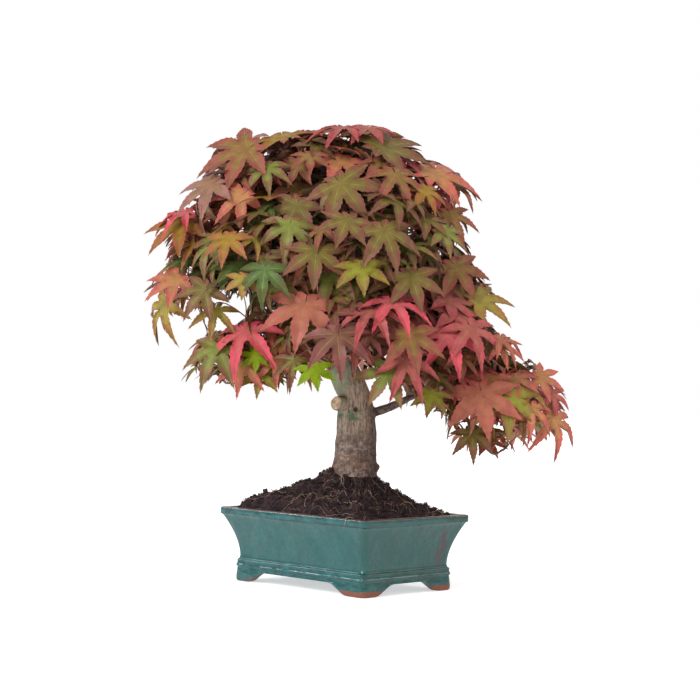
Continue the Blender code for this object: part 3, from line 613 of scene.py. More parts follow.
def new_material(name, roughness, specular=0.5):
    """Material with its node tree, its shader and a node of Object coordinates."""
    made = bpy.data.materials.new(name)
    made.use_nodes = True
    shader = made.node_tree.nodes["Principled BSDF"]
    shader.inputs["Roughness"].default_value = roughness
    shader.inputs["Specular IOR Level"].default_value = specular
    place = made.node_tree.nodes.new("ShaderNodeTexCoord").outputs["Object"]
    return made, shader, place


def new_group(name, inputs, outputs):
    """Shader node group with named sockets, each given as its name, type and default."""
    group = bpy.data.node_groups.new(name, "ShaderNodeTree")
    for side, sockets in (("INPUT", inputs), ("OUTPUT", outputs)):
        for label, kind, default in sockets:
            socket = group.interface.new_socket(label, in_out=side, socket_type="NodeSocket" + kind)
            if default is not None:
                socket.default_value = default
    return group, group.nodes.new("NodeGroupInput").outputs, group.nodes.new("NodeGroupOutput").inputs


def mottle_group():
    """Clouds of a second colour over a first, with a height for bumps."""
    group, given, result = new_group(
        "mottle",
        (("Place", "Vector", None), ("Colour", "Color", None), ("Clouds", "Color", None),
         ("Scale", "Float", 100.0), ("Amount", "Float", 0.5), ("Detail", "Float", 4.0)),
        (("Colour", "Color", None), ("Mask", "Float", None), ("Height", "Float", None)))
    add, link = nodes_of(group)
    clouds = add("ShaderNodeTexNoise")
    link(given["Place"], clouds.inputs["Vector"])
    link(given["Scale"], clouds.inputs["Scale"])
    link(given["Detail"], clouds.inputs["Detail"])
    spread = add("ShaderNodeMapRange", interpolation_type="SMOOTHSTEP")
    spread.inputs["From Min"].default_value = 0.38
    spread.inputs["From Max"].default_value = 0.64
    link(clouds.outputs["Fac"], spread.inputs["Value"])
    mask = add("ShaderNodeMath", operation="MULTIPLY")
    link(spread.outputs["Result"], mask.inputs[0])
    link(given["Amount"], mask.inputs[1])
    mix = add("ShaderNodeMix", data_type="RGBA")
    link(mask.outputs[0], mix.inputs["Factor"])
    link(given["Colour"], mix.inputs["A"])
    link(given["Clouds"], mix.inputs["B"])
    link(mix.outputs["Result"], result["Colour"])
    link(mask.outputs[0], result["Mask"])
    link(clouds.outputs["Fac"], result["Height"])
    return group


def band_group():
    """Mask of a band in height, with a ragged edge: 1 inside it and 0 outside."""
    group, given, result = new_group(
        "band",
        (("Place", "Vector", None), ("Low", "Float", 0.0), ("High", "Float", 1.0),
         ("Edge", "Float", 0.001), ("Ragged", "Float", 0.002), ("Scale", "Float", 150.0)),
        (("Mask", "Float", None),))
    add, link = nodes_of(group)
    split = add("ShaderNodeSeparateXYZ")
    link(given["Place"], split.inputs[0])
    wobble = add("ShaderNodeTexNoise")
    link(given["Place"], wobble.inputs["Vector"])
    link(given["Scale"], wobble.inputs["Scale"])
    centred = add("ShaderNodeMath", operation="SUBTRACT")
    link(wobble.outputs["Fac"], centred.inputs[0])
    centred.inputs[1].default_value = 0.5
    ragged = add("ShaderNodeMath", operation="MULTIPLY_ADD")
    link(centred.outputs[0], ragged.inputs[0])
    link(given["Ragged"], ragged.inputs[1])
    link(split.outputs["Z"], ragged.inputs[2])
    masks = []
    for limit, sign in (("Low", 1.0), ("High", -1.0)):
        gap = add("ShaderNodeMath", operation="SUBTRACT")
        link(ragged.outputs[0], gap.inputs[0])
        link(given[limit], gap.inputs[1])
        share = add("ShaderNodeMath", operation="DIVIDE")
        link(gap.outputs[0], share.inputs[0])
        link(given["Edge"], share.inputs[1])
        step = add("ShaderNodeMath", operation="MULTIPLY_ADD", use_clamp=True)
        link(share.outputs[0], step.inputs[0])
        step.inputs[1].default_value = sign
        step.inputs[2].default_value = 0.5
        masks.append(step)
    both = add("ShaderNodeMath", operation="MULTIPLY")
    link(masks[0].outputs[0], both.inputs[0])
    link(masks[1].outputs[0], both.inputs[1])
    link(both.outputs[0], result["Mask"])
    return group


def use_group(made, group, place, **values):
    """Group node in a material's tree, reading its Object coordinates."""
    node = made.node_tree.nodes.new("ShaderNodeGroup")
    node.node_tree = bpy.data.node_groups[group]
    made.node_tree.links.new(place, node.inputs["Place"])
    for key, value in values.items():
        socket = node.inputs[key.capitalize()]
        if isinstance(value, bpy.types.NodeSocket):
            made.node_tree.links.new(value, socket)
        else:
            socket.default_value = (*value, 1.0) if hasattr(value, "__len__") else value
    return node.outputs


def layered(made, below, above, mask):
    """Colour socket with one colour laid over another by a mask."""
    mix = made.node_tree.nodes.new("ShaderNodeMix")
    mix.data_type = "RGBA"
    made.node_tree.links.new(mask, mix.inputs["Factor"])
    for value, socket in ((below, mix.inputs["A"]), (above, mix.inputs["B"])):
        if isinstance(value, bpy.types.NodeSocket):
            made.node_tree.links.new(value, socket)
        else:
            socket.default_value = (*value, 1.0)
    return mix.outputs["Result"]


def bumped(made, shader, height, strength, distance):
    """Feed a height to the shader's normal."""
    bump = made.node_tree.nodes.new("ShaderNodeBump")
    bump.inputs["Strength"].default_value = strength
    bump.inputs["Distance"].default_value = distance
    made.node_tree.links.new(height, bump.inputs["Height"])
    made.node_tree.links.new(bump.outputs["Normal"], shader.inputs["Normal"])


def stretched(made, place, scale):
    """Object coordinates scaled apart along the axes, for a pattern with a grain."""
    mapping = made.node_tree.nodes.new("ShaderNodeMapping")
    mapping.inputs["Scale"].default_value = scale
    made.node_tree.links.new(place, mapping.inputs["Vector"])
    return mapping.outputs["Vector"]


def product(made, first, second):
    """Socket with the product of two masks."""
    part = made.node_tree.nodes.new("ShaderNodeMath")
    part.operation = "MULTIPLY"
    made.node_tree.links.new(first, part.inputs[0])
    made.node_tree.links.new(second, part.inputs[1])
    return part.outputs[0]


def ramp(made, value, low, high):
    """Mask that rises softly from 0 at one value to 1 at another."""
    spread = made.node_tree.nodes.new("ShaderNodeMapRange")
    spread.interpolation_type = "SMOOTHSTEP"
    spread.inputs["From Min"].default_value = low
    spread.inputs["From Max"].default_value = high
    made.node_tree.links.new(value, spread.inputs["Value"])
    return spread.outputs["Result"]


def blob_mask(made, place, middle, reach):
    """Mask of a soft round patch, 1 in its middle, with its reach along the model's axes in millimetres."""
    add, link = nodes_of(made.node_tree)
    inwards = add("ShaderNodeMapping", vector_type="POINT")
    inwards.inputs["Scale"].default_value = [1.0 / (size * MM) for size in reach]
    inwards.inputs["Location"].default_value = [-m / (size * MM) for m, size in zip(middle, reach)]
    link(place, inwards.inputs["Vector"])
    gap = add("ShaderNodeVectorMath", operation="LENGTH")
    link(inwards.outputs["Vector"], gap.inputs[0])
    return ramp(made, gap.outputs["Value"], 1.0, 0.45)


def roughened(made, shader, mask, low, high):
    """Let the roughness follow a mask between two values."""
    spread = made.node_tree.nodes.new("ShaderNodeMapRange")
    spread.inputs["To Min"].default_value = low
    spread.inputs["To Max"].default_value = high
    made.node_tree.links.new(mask, spread.inputs["Value"])
    made.node_tree.links.new(spread.outputs["Result"], shader.inputs["Roughness"])


def glaze_material(settings):
    """Glossy teal glaze with greyer clouds, brown where it runs thin, over bare clay feet; with painted sheen
    on its lit long side, painted shade in its grooves and on the side away from the lights.
    """
    made, shader, place = new_material("teal_glaze", settings.roughness, 0.35)
    link = made.node_tree.links.new
    clouds = use_group(made, "mottle", place, colour=settings.glaze, clouds=settings.glaze_grey,
                       scale=30.0, amount=0.45, detail=6.0)
    specks = use_group(made, "mottle", place, colour=clouds["Colour"], clouds=darker(settings.glaze, 0.6),
                       scale=420.0, amount=0.35, detail=2.0)
    runs = use_group(made, "mottle", stretched(made, place, (1.0, 1.0, 0.35)), colour=specks["Colour"],
                     clouds=darker(settings.glaze, 0.55), scale=75.0, amount=0.30, detail=5.0)
    colour = runs["Colour"]
    across = tree_across(made, place)
    # Each band darkens in pools of thick glaze and, on the lit long side, carries painted sheen in bluer spots
    for low, high in POOL_AND_SHEEN_BANDS:
        pool_and_sheen_band = use_group(made, "band", place, low=low, high=high, edge=0.001, ragged=0.002, scale=90.0)
        blots = use_group(made, "mottle", stretched(made, place, (1.0, 1.0, 2.5)), colour=(0, 0, 0),
                          clouds=(1, 1, 1), scale=70.0, amount=0.85, detail=4.0)
        colour = layered(made, colour, darker(settings.glaze, 0.45),
                         product(made, pool_and_sheen_band["Mask"], blots["Mask"]))
        light = use_group(made, "mottle", stretched(made, place, (1.0, 1.0, 3.5)), colour=(0, 0, 0),
                          clouds=(0.5, 0.5, 0.5), scale=120.0, amount=0.7, detail=4.0)
        gathered = product(made, light["Colour"], ramp(made, across, *PAINTED_SHEEN_SIDE))
        colour = layered(made, colour, settings.painted_sheen_glaze, product(made, pool_and_sheen_band["Mask"], gathered))
    # Painted shade with a warm painted reflection: duller, darker green on the side away from the lights
    shade_mottle = use_group(made, "mottle", place, colour=(0.25, 0.25, 0.25), clouds=(0.45, 0.45, 0.45),
                     scale=40.0, amount=1.0, detail=5.0)
    colour = layered(made, colour, settings.shade_side_glaze,
                     product(made, ramp(made, across, *PAINTED_SHADE_SIDE), shade_mottle["Colour"]))
    stain = blob_mask(made, place, POT @ Vector(STAIN), STAIN_REACH)
    stained = use_group(made, "mottle", place, colour=(0.4, 0.4, 0.4), clouds=(1, 1, 1), scale=120.0,
                        amount=1.0, detail=5.0)
    colour = layered(made, colour, settings.stain, product(made, stain, stained["Colour"]))
    rim = use_group(made, "band", place, low=0.0712, high=0.08, edge=0.0006, ragged=0.0030, scale=90.0)
    colour = layered(made, colour, settings.thin_glaze, rim["Mask"])
    patches = use_group(made, "mottle", place, colour=(0, 0, 0), clouds=(1, 1, 1), scale=38.0, amount=0.9,
                        detail=3.0)
    # Painted shade: dark lines in the grooves above and below the belt and under the rim
    line = darker(settings.glaze, 0.3)
    for height in (BELT[0] - 0.3, BELT[1] + 0.3, 65.4):
        shaded_groove = use_group(made, "band", place, low=(height - 0.5) * MM, high=(height + 0.6) * MM,
                           edge=0.0006, ragged=0.0008, scale=200.0)
        colour = layered(made, colour, line, product(made, shaded_groove["Mask"], patches["Mask"]))
    seam = use_group(made, "band", place, low=-0.01, high=0.0014, edge=0.0008, ragged=0.0016, scale=60.0)
    colour = layered(made, colour, settings.thin_glaze, seam["Mask"])
    clay = use_group(made, "band", place, low=-0.01, high=0.0052, edge=0.0008, ragged=0.0060, scale=38.0)
    bare = product(made, clay["Mask"], ramp(made, across, *GLAZED_FOOT))
    colour = layered(made, colour, settings.clay, bare)
    link(colour, shader.inputs["Base Color"])
    roughened(made, shader, bare, settings.roughness, 0.8)
    shader.inputs["Coat Weight"].default_value = 0.30
    shader.inputs["Coat Roughness"].default_value = 0.03
    ripple = made.node_tree.nodes.new("ShaderNodeTexNoise")
    ripple.inputs["Scale"].default_value = 95.0
    ripple.inputs["Detail"].default_value = 3.0
    link(place, ripple.inputs["Vector"])
    bumped(made, shader, ripple.outputs["Fac"], 0.6, 0.0022)
    return made


def soil_material(name, dark, brown, scale):
    """Damp crumbly soil with drier patches."""
    made, shader, place = new_material(name, 0.92, 0.25)
    patches = use_group(made, "mottle", place, colour=dark, clouds=brown, scale=scale, amount=0.95,
                        detail=8.0)
    made.node_tree.links.new(patches["Colour"], shader.inputs["Base Color"])
    grain = use_group(made, "mottle", place, colour=dark, clouds=brown, scale=900.0, amount=1.0, detail=3.0)
    bumped(made, shader, grain["Height"], 0.8, 0.0010)
    roughened(made, shader, patches["Mask"], 0.75, 0.98)
    return made


def bark_material(settings):
    """Brown bark with upright streaks, wrinkles low down and grey green on the younger wood, with painted
    shade at its foot and on its right side.
    """
    made, shader, place = new_material("maple_bark", 0.82, 0.25)
    link = made.node_tree.links.new
    upright = stretched(made, place, (1.0, 1.0, 0.10))
    broad = use_group(made, "mottle", place, colour=settings.brown, clouds=settings.dark,
                      scale=48.0, amount=0.55, detail=8.0)
    streaks = use_group(made, "mottle", upright, colour=broad["Colour"], clouds=settings.pale,
                        scale=800.0, amount=0.62, detail=5.0)
    lines = use_group(made, "mottle", upright, colour=streaks["Colour"], clouds=settings.dark,
                      scale=620.0, amount=0.80, detail=6.0)
    flecks = use_group(made, "mottle", place, colour=lines["Colour"], clouds=settings.pale,
                       scale=330.0, amount=0.46, detail=6.0)
    dusk = layered(made, flecks["Colour"], settings.foot, broken(made, place))
    wrinkles = use_group(made, "mottle", stretched(made, place, (1.0, 1.0, 2.8)), colour=flecks["Colour"],
                         clouds=dusk, scale=230.0, amount=1.0, detail=9.0)
    stains = use_group(made, "mottle", place, colour=wrinkles["Colour"], clouds=dusk,
                       scale=85.0, amount=1.0, detail=7.0)
    foot = use_group(made, "band", place, low=0.09, high=0.144, edge=0.022, ragged=0.026, scale=60.0)
    colour = layered(made, flecks["Colour"], stains["Colour"], foot["Mask"])
    # Painted shade: the trunk's foot made darker still, in patches
    foot_shade = use_group(made, "mottle", stretched(made, place, (1.0, 1.0, 1.6)), colour=(0.10, 0.10, 0.10),
                      clouds=(0.70, 0.70, 0.70), scale=140.0, amount=1.0, detail=7.0)
    colour = layered(made, colour, settings.foot, product(made, foot["Mask"], foot_shade["Colour"]))
    grown = use_group(made, "mottle", place, colour=settings.green, clouds=settings.pale,
                      scale=90.0, amount=0.35, detail=6.0)
    fresh = use_group(made, "mottle", upright, colour=grown["Colour"], clouds=settings.dark,
                      scale=600.0, amount=0.25, detail=4.0)
    across = tree_across(made, place)
    colour = layered(made, colour, fresh["Colour"], young_bark_mask(made, place, across))
    algae = layered(made, colour, settings.algae, ramp(made, across, *ALGAE_EDGE))
    for tint, low, high, ragged, share in ((algae, 0.1600, 0.1715, 0.008, 0.95),
                                           (settings.pale, 0.1310, 0.1370, 0.012, 0.45),
                                           (settings.rusty, 0.1140, 0.1260, 0.020, 0.25)):
        band = use_group(made, "band", place, low=low, high=high, edge=0.002, ragged=ragged, scale=110.0)
        patchy = use_group(made, "mottle", stretched(made, place, (1.0, 1.0, 1.8)), colour=(0, 0, 0),
                           clouds=(1, 1, 1), scale=130.0, amount=share, detail=5.0)
        colour = layered(made, colour, tint, product(made, band["Mask"], patchy["Mask"]))
    # Painted shade: the trunk's right side, away from the lights, darker in patches
    shade = product(made, ramp(made, across, *SHADED_SIDE), broken(made, place))
    colour = layered(made, colour, settings.foot, shade)
    scar = blob_mask(made, place, TREE @ SCAR, [SCAR_RADIUS * 1.5] * 3)
    colour = layered(made, colour, settings.foot, scar)
    link(colour, shader.inputs["Base Color"])
    bumped(made, shader, lines["Height"], 0.9, 0.0010)
    roughened(made, shader, streaks["Mask"], 0.72, 0.92)
    return made


def tree_across(made, place):
    """Socket with the distance across the tree's frame, in metres."""
    add, link = nodes_of(made.node_tree)
    way = TREE.to_3x3().normalized() @ Vector((1, 0, 0))
    along = add("ShaderNodeVectorMath", operation="DOT_PRODUCT")
    link(place, along.inputs[0])
    along.inputs[1].default_value = way
    across = add("ShaderNodeMath", operation="SUBTRACT")
    link(along.outputs["Value"], across.inputs[0])
    across.inputs[1].default_value = TREE.translation.dot(way)
    return across.outputs[0]


def broken(made, place):
    """Mask of fine patches that leaves a third of the surface free."""
    return use_group(made, "mottle", place, colour=(0.55, 0.55, 0.55), clouds=(1, 1, 1), scale=240.0,
                     amount=1.0, detail=6.0)["Colour"]


def young_bark_mask(made, place, across):
    """Mask of the younger grey green wood: high up, but not on the trunk's right side."""
    add, link = nodes_of(made.node_tree)
    high = use_group(made, "band", place, low=0.186, high=0.6, edge=0.034, ragged=0.03, scale=40.0)
    aside = add("ShaderNodeMath", operation="SUBTRACT")
    link(across, aside.inputs[0])
    aside.inputs[1].default_value = BROWN_SIDE * MM
    gap = add("ShaderNodeMath", operation="ABSOLUTE")
    link(aside.outputs[0], gap.inputs[0])
    spread = ramp(made, gap.outputs[0], BROWN_WIDTH * MM * 0.5, BROWN_WIDTH * MM)
    return product(made, high["Mask"], spread)


def wood_material(settings):
    """Pale cut wood, a little uneven."""
    made, shader, place = new_material("cut_wood", 0.75, 0.3)
    tone = use_group(made, "mottle", place, colour=settings.wood, clouds=darker(settings.wood, 0.45),
                     scale=260.0, amount=0.7, detail=4.0)
    made.node_tree.links.new(tone["Colour"], shader.inputs["Base Color"])
    bumped(made, shader, tone["Height"], 0.5, 0.0006)
    return made


def twig_material(name, colour, clouds, roughness=0.6):
    """Smooth bark of twigs and stalks."""
    made, shader, place = new_material(name, roughness, 0.35)
    tone = use_group(made, "mottle", place, colour=colour, clouds=clouds, scale=70.0, amount=0.9, detail=4.0)
    made.node_tree.links.new(tone["Colour"], shader.inputs["Base Color"])
    bumped(made, shader, tone["Height"], 0.3, 0.0004)
    return made


def leaf_material(name, colour):
    """Leaf blade in one tint, a little uneven, and paler and greyer on its underside: partly its real paler
    underside, partly painted light that stands in for light shining through the leaf.
    """
    made, shader, place = new_material(name, 0.5, 0.20)
    link = made.node_tree.links.new
    deep = darker(colour, 0.62)
    tone = use_group(made, "mottle", place, colour=colour, clouds=deep, scale=130.0, amount=0.5, detail=5.0)
    # Painted light: the underside is made paler than the face, partly its real paler underside, partly
    # standing in for light that shines through the leaf
    under = [1.05 * c + 0.07 for c in colour]
    side = made.node_tree.nodes.new("ShaderNodeNewGeometry").outputs["Backfacing"]
    link(layered(made, tone["Colour"], under, side), shader.inputs["Base Color"])
    fine = use_group(made, "mottle", place, colour=colour, clouds=deep, scale=700.0, amount=1.0, detail=2.0)
    bumped(made, shader, fine["Height"], 0.25, 0.0005)
    roughened(made, shader, tone["Mask"], 0.40, 0.58)
    return made


def wall_inset(height):
    """Inset of the pot's hollow-curved outer wall at a height."""
    share = min(max((height - WALL_FOOT) / (WALL_HEAD - WALL_FOOT), 0.0), 1.0)
    return WALL_INSET_FOOT - (WALL_INSET_FOOT - WALL_INSET_HEAD) * share ** WALL_CURVE


def skirt_inset(height):
    """Inset of the pot's skirt at a height, with its raised belt and the belt's two beads."""
    share = min(height / WALL_FOOT, 1.0)
    inset = SKIRT_INSET + (WALL_INSET_FOOT - SKIRT_INSET) * share * share
    inside = [1.0 / (1.0 + math.exp((edge - height) / BELT_EDGE * 3.0)) for edge in BELT]
    inset -= BELT_DEPTH * (inside[0] - inside[1])
    for bead in BEAD_HEIGHTS:
        inset -= BEAD_SIZE * math.exp(-((height - bead) / BEAD_WIDTH) ** 2)
    return inset


def pot_ring(inset, height, feet=False):
    """Ring round the pot at an inset from its rim, whose low part follows the feet if asked."""
    half_length = POT_LENGTH / 2 - inset
    half_width = POT_WIDTH / 2 - inset
    straight_x = half_length - POT_CORNER
    straight_y = half_width - POT_CORNER
    ring = []
    for quarter, (side_x, side_y, steps) in enumerate(((1, 1, LONG_STEPS), (-1, 1, SHORT_STEPS),
                                                       (-1, -1, LONG_STEPS), (1, -1, SHORT_STEPS))):
        for step in range(CORNER_STEPS + 1):
            angle = math.radians(90.0 * (quarter + step / CORNER_STEPS))
            ring.append(Vector((side_x * straight_x + POT_CORNER * math.cos(angle),
                                side_y * straight_y + POT_CORNER * math.sin(angle), height)))
        last = ring[-1]
        along = Vector((-2 * side_x * straight_x, 0, 0)) if steps == LONG_STEPS \
            else Vector((0, -2 * side_y * straight_y, 0))
        ring += [last + along * (step / steps) for step in range(1, steps)]
    if feet:
        for point in ring:
            lift = foot_lift(point, half_length, half_width)
            point.z = lift + (FLOOR_UNDERSIDE - lift) * (height / FLOOR_UNDERSIDE)
    return ring


def foot_lift(point, half_length, half_width):
    """Height of the pot's lower edge over the ground at a point of a ring."""
    outer = SKIRT_INSET + FOOT_FLAT
    front = FRONT_FOOT_MORE if point.x > 0 > point.y else 0.0
    along_x = POT_LENGTH / 2 - outer - front - abs(point.x)
    along_y = POT_WIDTH / 2 - outer - abs(point.y)
    gap = along_x if abs(point.y) > half_width - POT_CORNER else along_y
    share = min(max(gap / FOOT_CURVE, 0.0), 1.0)
    return FOOT_HEIGHT * share * share * (3.0 - 2.0 * share)


def pot_profile():
    """Rings of the pot's skin, from the middle of its underside round to its inner floor."""
    foot_inner = SKIRT_INSET + FOOT_THICKNESS
    rings = [pot_ring(foot_inner + 1.0, FLOOR_UNDERSIDE), pot_ring(foot_inner, FLOOR_UNDERSIDE - 0.05)]
    for inset, height in ((foot_inner - 0.4, 1.2), (foot_inner - 1.2, 0.0), (SKIRT_INSET + 1.9, 0.0),
                          (SKIRT_INSET + 1.0, 0.25), (SKIRT_INSET + 0.35, LIP), (SKIRT_INSET + 0.1, 2.2),
                          (SKIRT_INSET, 5.0), (skirt_inset(8.6), 8.6)):
        rings.append(pot_ring(inset, height, feet=True))
    height = FLOOR_UNDERSIDE - SKIRT_STEP * 2
    while height < WALL_FOOT:
        rings.append(pot_ring(skirt_inset(height), height, feet=height < FLOOR_UNDERSIDE))
        height += SKIRT_STEP
    for step in range(15):
        height = WALL_FOOT + step / 14 * (WALL_HEAD - WALL_FOOT)
        rings.append(pot_ring(wall_inset(height), height))
    for inset, height in ((1.2, 64.9), (0.35, 65.4), (0.0, 66.2), (0.0, 68.5), (0.0, 70.6), (0.25, 71.6),
                          (0.9, 72.2), (1.8, POT_HEIGHT), (5.9, POT_HEIGHT), (7.0, 72.1), (7.9, 71.2),
                          (8.6, 69.0), (WALL_INSET_HEAD + WALL_THICKNESS, WALL_HEAD)):
        rings.append(pot_ring(inset, height))
    for step in range(1, 5):
        height = WALL_HEAD + step / 4 * (FLOOR_TOP - WALL_HEAD)
        rings.append(pot_ring(wall_inset(height) + WALL_THICKNESS, height))
    return rings


def make_pot(settings):
    """Glazed pot in place of its plain solid, drilled at its two drains."""
    bm = sweep(pot_profile())
    for vertex in bm.verts:
        if vertex.co.z > LIP:
            warp = noise.noise_vector(vertex.co / WARP_WIDTH) * WARP
            warp.z *= 0.5
            vertex.co += warp
    mesh = to_mesh("glazed_pot", bm, POT, smooth=50.0)
    cutters = []
    for side in (-1, 1):
        drill = bmesh.new()
        bmesh.ops.create_cone(drill, cap_ends=True, segments=32, radius1=DRAIN_DIAMETER / 2,
                              radius2=DRAIN_DIAMETER / 2, depth=FLOOR_TOP)
        middle = Matrix.Translation((side * DRAIN_SPACING / 2, 0, FLOOR_TOP))
        cutters.append(linked("drain_cutter", to_mesh("drain_cutter", drill, POT @ middle)))
    drilled = evaluated_mesh("glazed_pot", mesh, *(
        ("BOOLEAN", {"operation": "DIFFERENCE", "solver": "EXACT", "object": cutter}) for cutter in cutters))
    for cutter in cutters:
        bpy.data.objects.remove(cutter, do_unlink=True)
    return new_piece("glazed_pot", drilled, [glaze_material(settings)], "glaze", "pot")


def soil_point(edge, share):
    """Point of the soil's heap on the way from its edge to its seat under the trunk, in the pot's frame."""
    turn = TURN.to_3x3()
    seat = turn @ Vector((TRUNK[0][0], TRUNK[0][1], GROUND))
    away = Vector((edge.x - seat.x, edge.y - seat.y, 0)).normalized()
    place = edge.lerp(seat + away * SOIL_SEAT_RADIUS, share)
    rightward = away.dot(turn @ Vector((1, 0, 0)))
    leftward = max(0.0, -rightward)
    shoulder = math.exp(-((share - SOIL_SHOULDER_PLACE) / SOIL_SHOULDER_WIDTH) ** 2)
    place.z += SOIL_SHOULDER * leftward * shoulder
    place.z += SOIL_CLUMP * leftward ** 3 * math.exp(-((share - 0.96) / SOIL_CLUMP_WIDTH) ** 2)
    hollow = 1.0 + 0.35 * rightward - 1.15 * leftward
    place.z -= SOIL_HOLLOW * hollow * math.sin(math.pi * share * share)
    return place


def lumpy(point, lump, share):
    """The point moved by the soil's lumps, which fade out at the pot's wall."""
    fade = min(1.0, share * 9.0)
    broad = noise.fractal(point / 17.0, 0.7, 2.2, 4)
    clods = max(0.0, noise.noise(point / 6.5) + 0.1) * 1.4
    fine = noise.noise(point / 2.3)
    lifted = point.copy()
    lifted.z += fade * lump * (0.9 * broad + clods + 0.35 * fine)
    return lifted


def make_soil(settings, rng):
    """Heaped soil with lumps, loose crumbs and fibres on it."""
    lump = settings.lump / MM
    edge = pot_ring(SOIL_RIM_GAP, SOIL_EDGE)
    rings = [pot_ring(SOIL_RIM_GAP + 2.0, SOIL_EDGE - 8.0)]
    for step in range(SOIL_STEPS + 1):
        share = step / SOIL_STEPS
        rings.append([lumpy(soil_point(point, share), lump, share) for point in edge])
    dark = soil_material("dark_soil", settings.dark, settings.brown, 130.0)
    new_piece("soil_heap", to_mesh("soil_heap", sweep(rings), POT, 60.0), [dark], "dark_soil", "soil")
    crumbs = bmesh.new()
    for _ in range(settings.crumbs):
        share = rng.random() ** 0.8 * SOIL_TOP
        spot = lumpy(soil_point(rng.choice(edge), share), lump, share)
        sizes = [rng.uniform(least, most) for least, most, _ in CRUMB_SIZES]
        size = rng.choices(sizes, [often for *_, often in CRUMB_SIZES])[0]
        first = len(crumbs.verts)
        made = bmesh.ops.create_icosphere(crumbs, subdivisions=1, radius=size)["verts"]
        squeeze = Vector([rng.uniform(0.6, 1.3) for _ in range(3)])
        for vertex in made:
            vertex.co += noise.noise_vector(vertex.co * 0.9 + Vector((first, 0, 0))) * size * 0.85
        turn = Matrix.Rotation(rng.uniform(0, math.tau), 4, Vector([rng.uniform(-1, 1) for _ in range(3)]))
        bmesh.ops.transform(crumbs, verts=made, matrix=Matrix.Translation(spot + UP * size * 0.25)
                            @ turn @ Matrix.Diagonal((*squeeze, 1.0)))
    tones = [soil_material("crumb_dark", settings.dark, settings.brown, 300.0),
             soil_material("crumb_brown", settings.brown, settings.dark, 300.0),
             soil_material("crumb_moss", MOSS, settings.brown, 400.0)]
    for index, face in enumerate(crumbs.faces):
        kind = (index // 20) % 60
        face.material_index = 2 if kind < 2 and face.calc_area() < 0.5 else 1 if kind < 18 else 0
    piece = new_piece("soil_crumbs", to_mesh("soil_crumbs", crumbs, POT, 25.0), tones, "dark_soil", "soil")
    make_fibres(settings, edge, lump, rng)
    return piece


def make_fibres(settings, edge, lump, rng):
    """Fibres, fine roots and bits of straw that lie on the soil."""
    dark, brown, pale = [], [], []
    for index in range(settings.fibres):
        share = rng.uniform(0.04, SOIL_TOP)
        walk = rng.uniform(0, len(edge))
        heading = rng.uniform(0, math.tau)
        length = rng.uniform(4, 24)
        radius = rng.uniform(0.07, 0.19)
        lift = rng.uniform(0.3, 2.8)
        points = []
        for step in range(FIBRE_KNOTS):
            base = edge[int(walk) % len(edge)].lerp(edge[(int(walk) + 1) % len(edge)], walk % 1.0)
            spot = lumpy(soil_point(base, share), lump, share)
            arch = math.sin(math.pi * step / (FIBRE_KNOTS - 1)) * lift
            points.append((spot + UP * (radius + 0.2 + arch), radius * (1.0 - 0.5 * step / FIBRE_KNOTS)))
            heading += rng.uniform(-0.75, 0.75)
            walk += math.cos(heading) * length / FIBRE_KNOTS / 2.4
            share += math.sin(heading) * length / FIBRE_KNOTS / 60.0
            share = min(SOIL_TOP, max(0.03, share))
        (pale if index % 3 == 0 else brown).append(points)
    for _ in range(settings.splinters):
        share = rng.uniform(0.02, SOIL_TOP)
        spot = lumpy(soil_point(rng.choice(edge), share), lump, share)
        lean = Vector([rng.uniform(-1.0, 1.0), rng.uniform(-1.0, 1.0), rng.uniform(0.1, 0.9)])
        lean *= rng.uniform(1.0, 3.4)
        radius = rng.uniform(0.12, 0.36)
        bend = spot + lean * 0.6 + UP * 0.6
        dark.append([(spot, radius), (bend, radius), (spot + lean * 1.2, radius * 0.5)])
    pale.append(straw_over_rim())
    finish = twig_material("straw", settings.straw, darker(settings.straw, 0.6), 0.7)
    new_piece("soil_straw", strand_mesh("soil_straw", pale, POT), [finish], "dark_soil", "soil")
    finish = twig_material("root_thread", darker(settings.straw, 0.34), settings.brown, 0.85)
    new_piece("soil_roots", strand_mesh("soil_roots", brown, POT, 0), [finish], "dark_soil", "soil")
    finish = twig_material("splinter", darker(settings.brown, 1.2), settings.dark, 0.9)
    new_piece("soil_splinters", strand_mesh("soil_splinters", dark, POT, 0), [finish], "dark_soil", "soil")


def straw_over_rim():
    """Bit of straw that hangs over the rim of the pot's long side, near its front corner."""
    outer = -POT_WIDTH / 2
    places = ((74.0, outer + 13.0, 72.0), (75.5, outer + 7.0, 73.4), (77.0, outer + 1.0, 73.0),
              (77.6, outer - 0.7, 70.5), (76.6, outer - 1.2, 66.0), (75.4, outer - 1.4, 61.5))
    return [(point, 0.42 - 0.03 * index) for index, point in enumerate(smooth_route(places, 14))]


def root_swell(place, angle):
    """Widening of the trunk's foot into roots, fading with height."""
    fade = math.exp(-(place.z - GROUND) / ROOT_FADE)
    return 1.0 + ROOT_FLARE * fade * (1.0 + math.cos(ROOT_LOBES * angle)) / 2


def trunk_bmesh(sides, count, extra=0.0):
    """Trunk from its flat cut on the soil up to its tip, grown by extra all round."""
    stations = smooth_route(TRUNK, count)
    route = [Vector(station[:3]) for station in stations]
    radii = [station[3] / 2 + extra for station in stations]
    return limb(route, radii, sides, flat_start=True, swell=root_swell)


def stub_bmesh(sides, extra=0.0):
    """Stub of a pruned branch with a flat cut."""
    radius = STUB_RADIUS + extra
    return limb(smooth_route((STUB_BASE, STUB_END), 6), [radius] * 6 + [radius * 0.9], sides)


def bough_bmesh(bough, sides, count, extra=0.0):
    """Bough from inside the trunk to its tip."""
    radii = []
    for step in range(count + 1):
        share = step / count
        radius = (bough.root * (1 - share) + bough.tip * share) / 2
        radii.append(radius * (1 + (COLLAR - 1) * math.exp(-share * COLLAR_FADE)) + extra)
    return limb(smooth_route(bough.route, count), radii, sides)


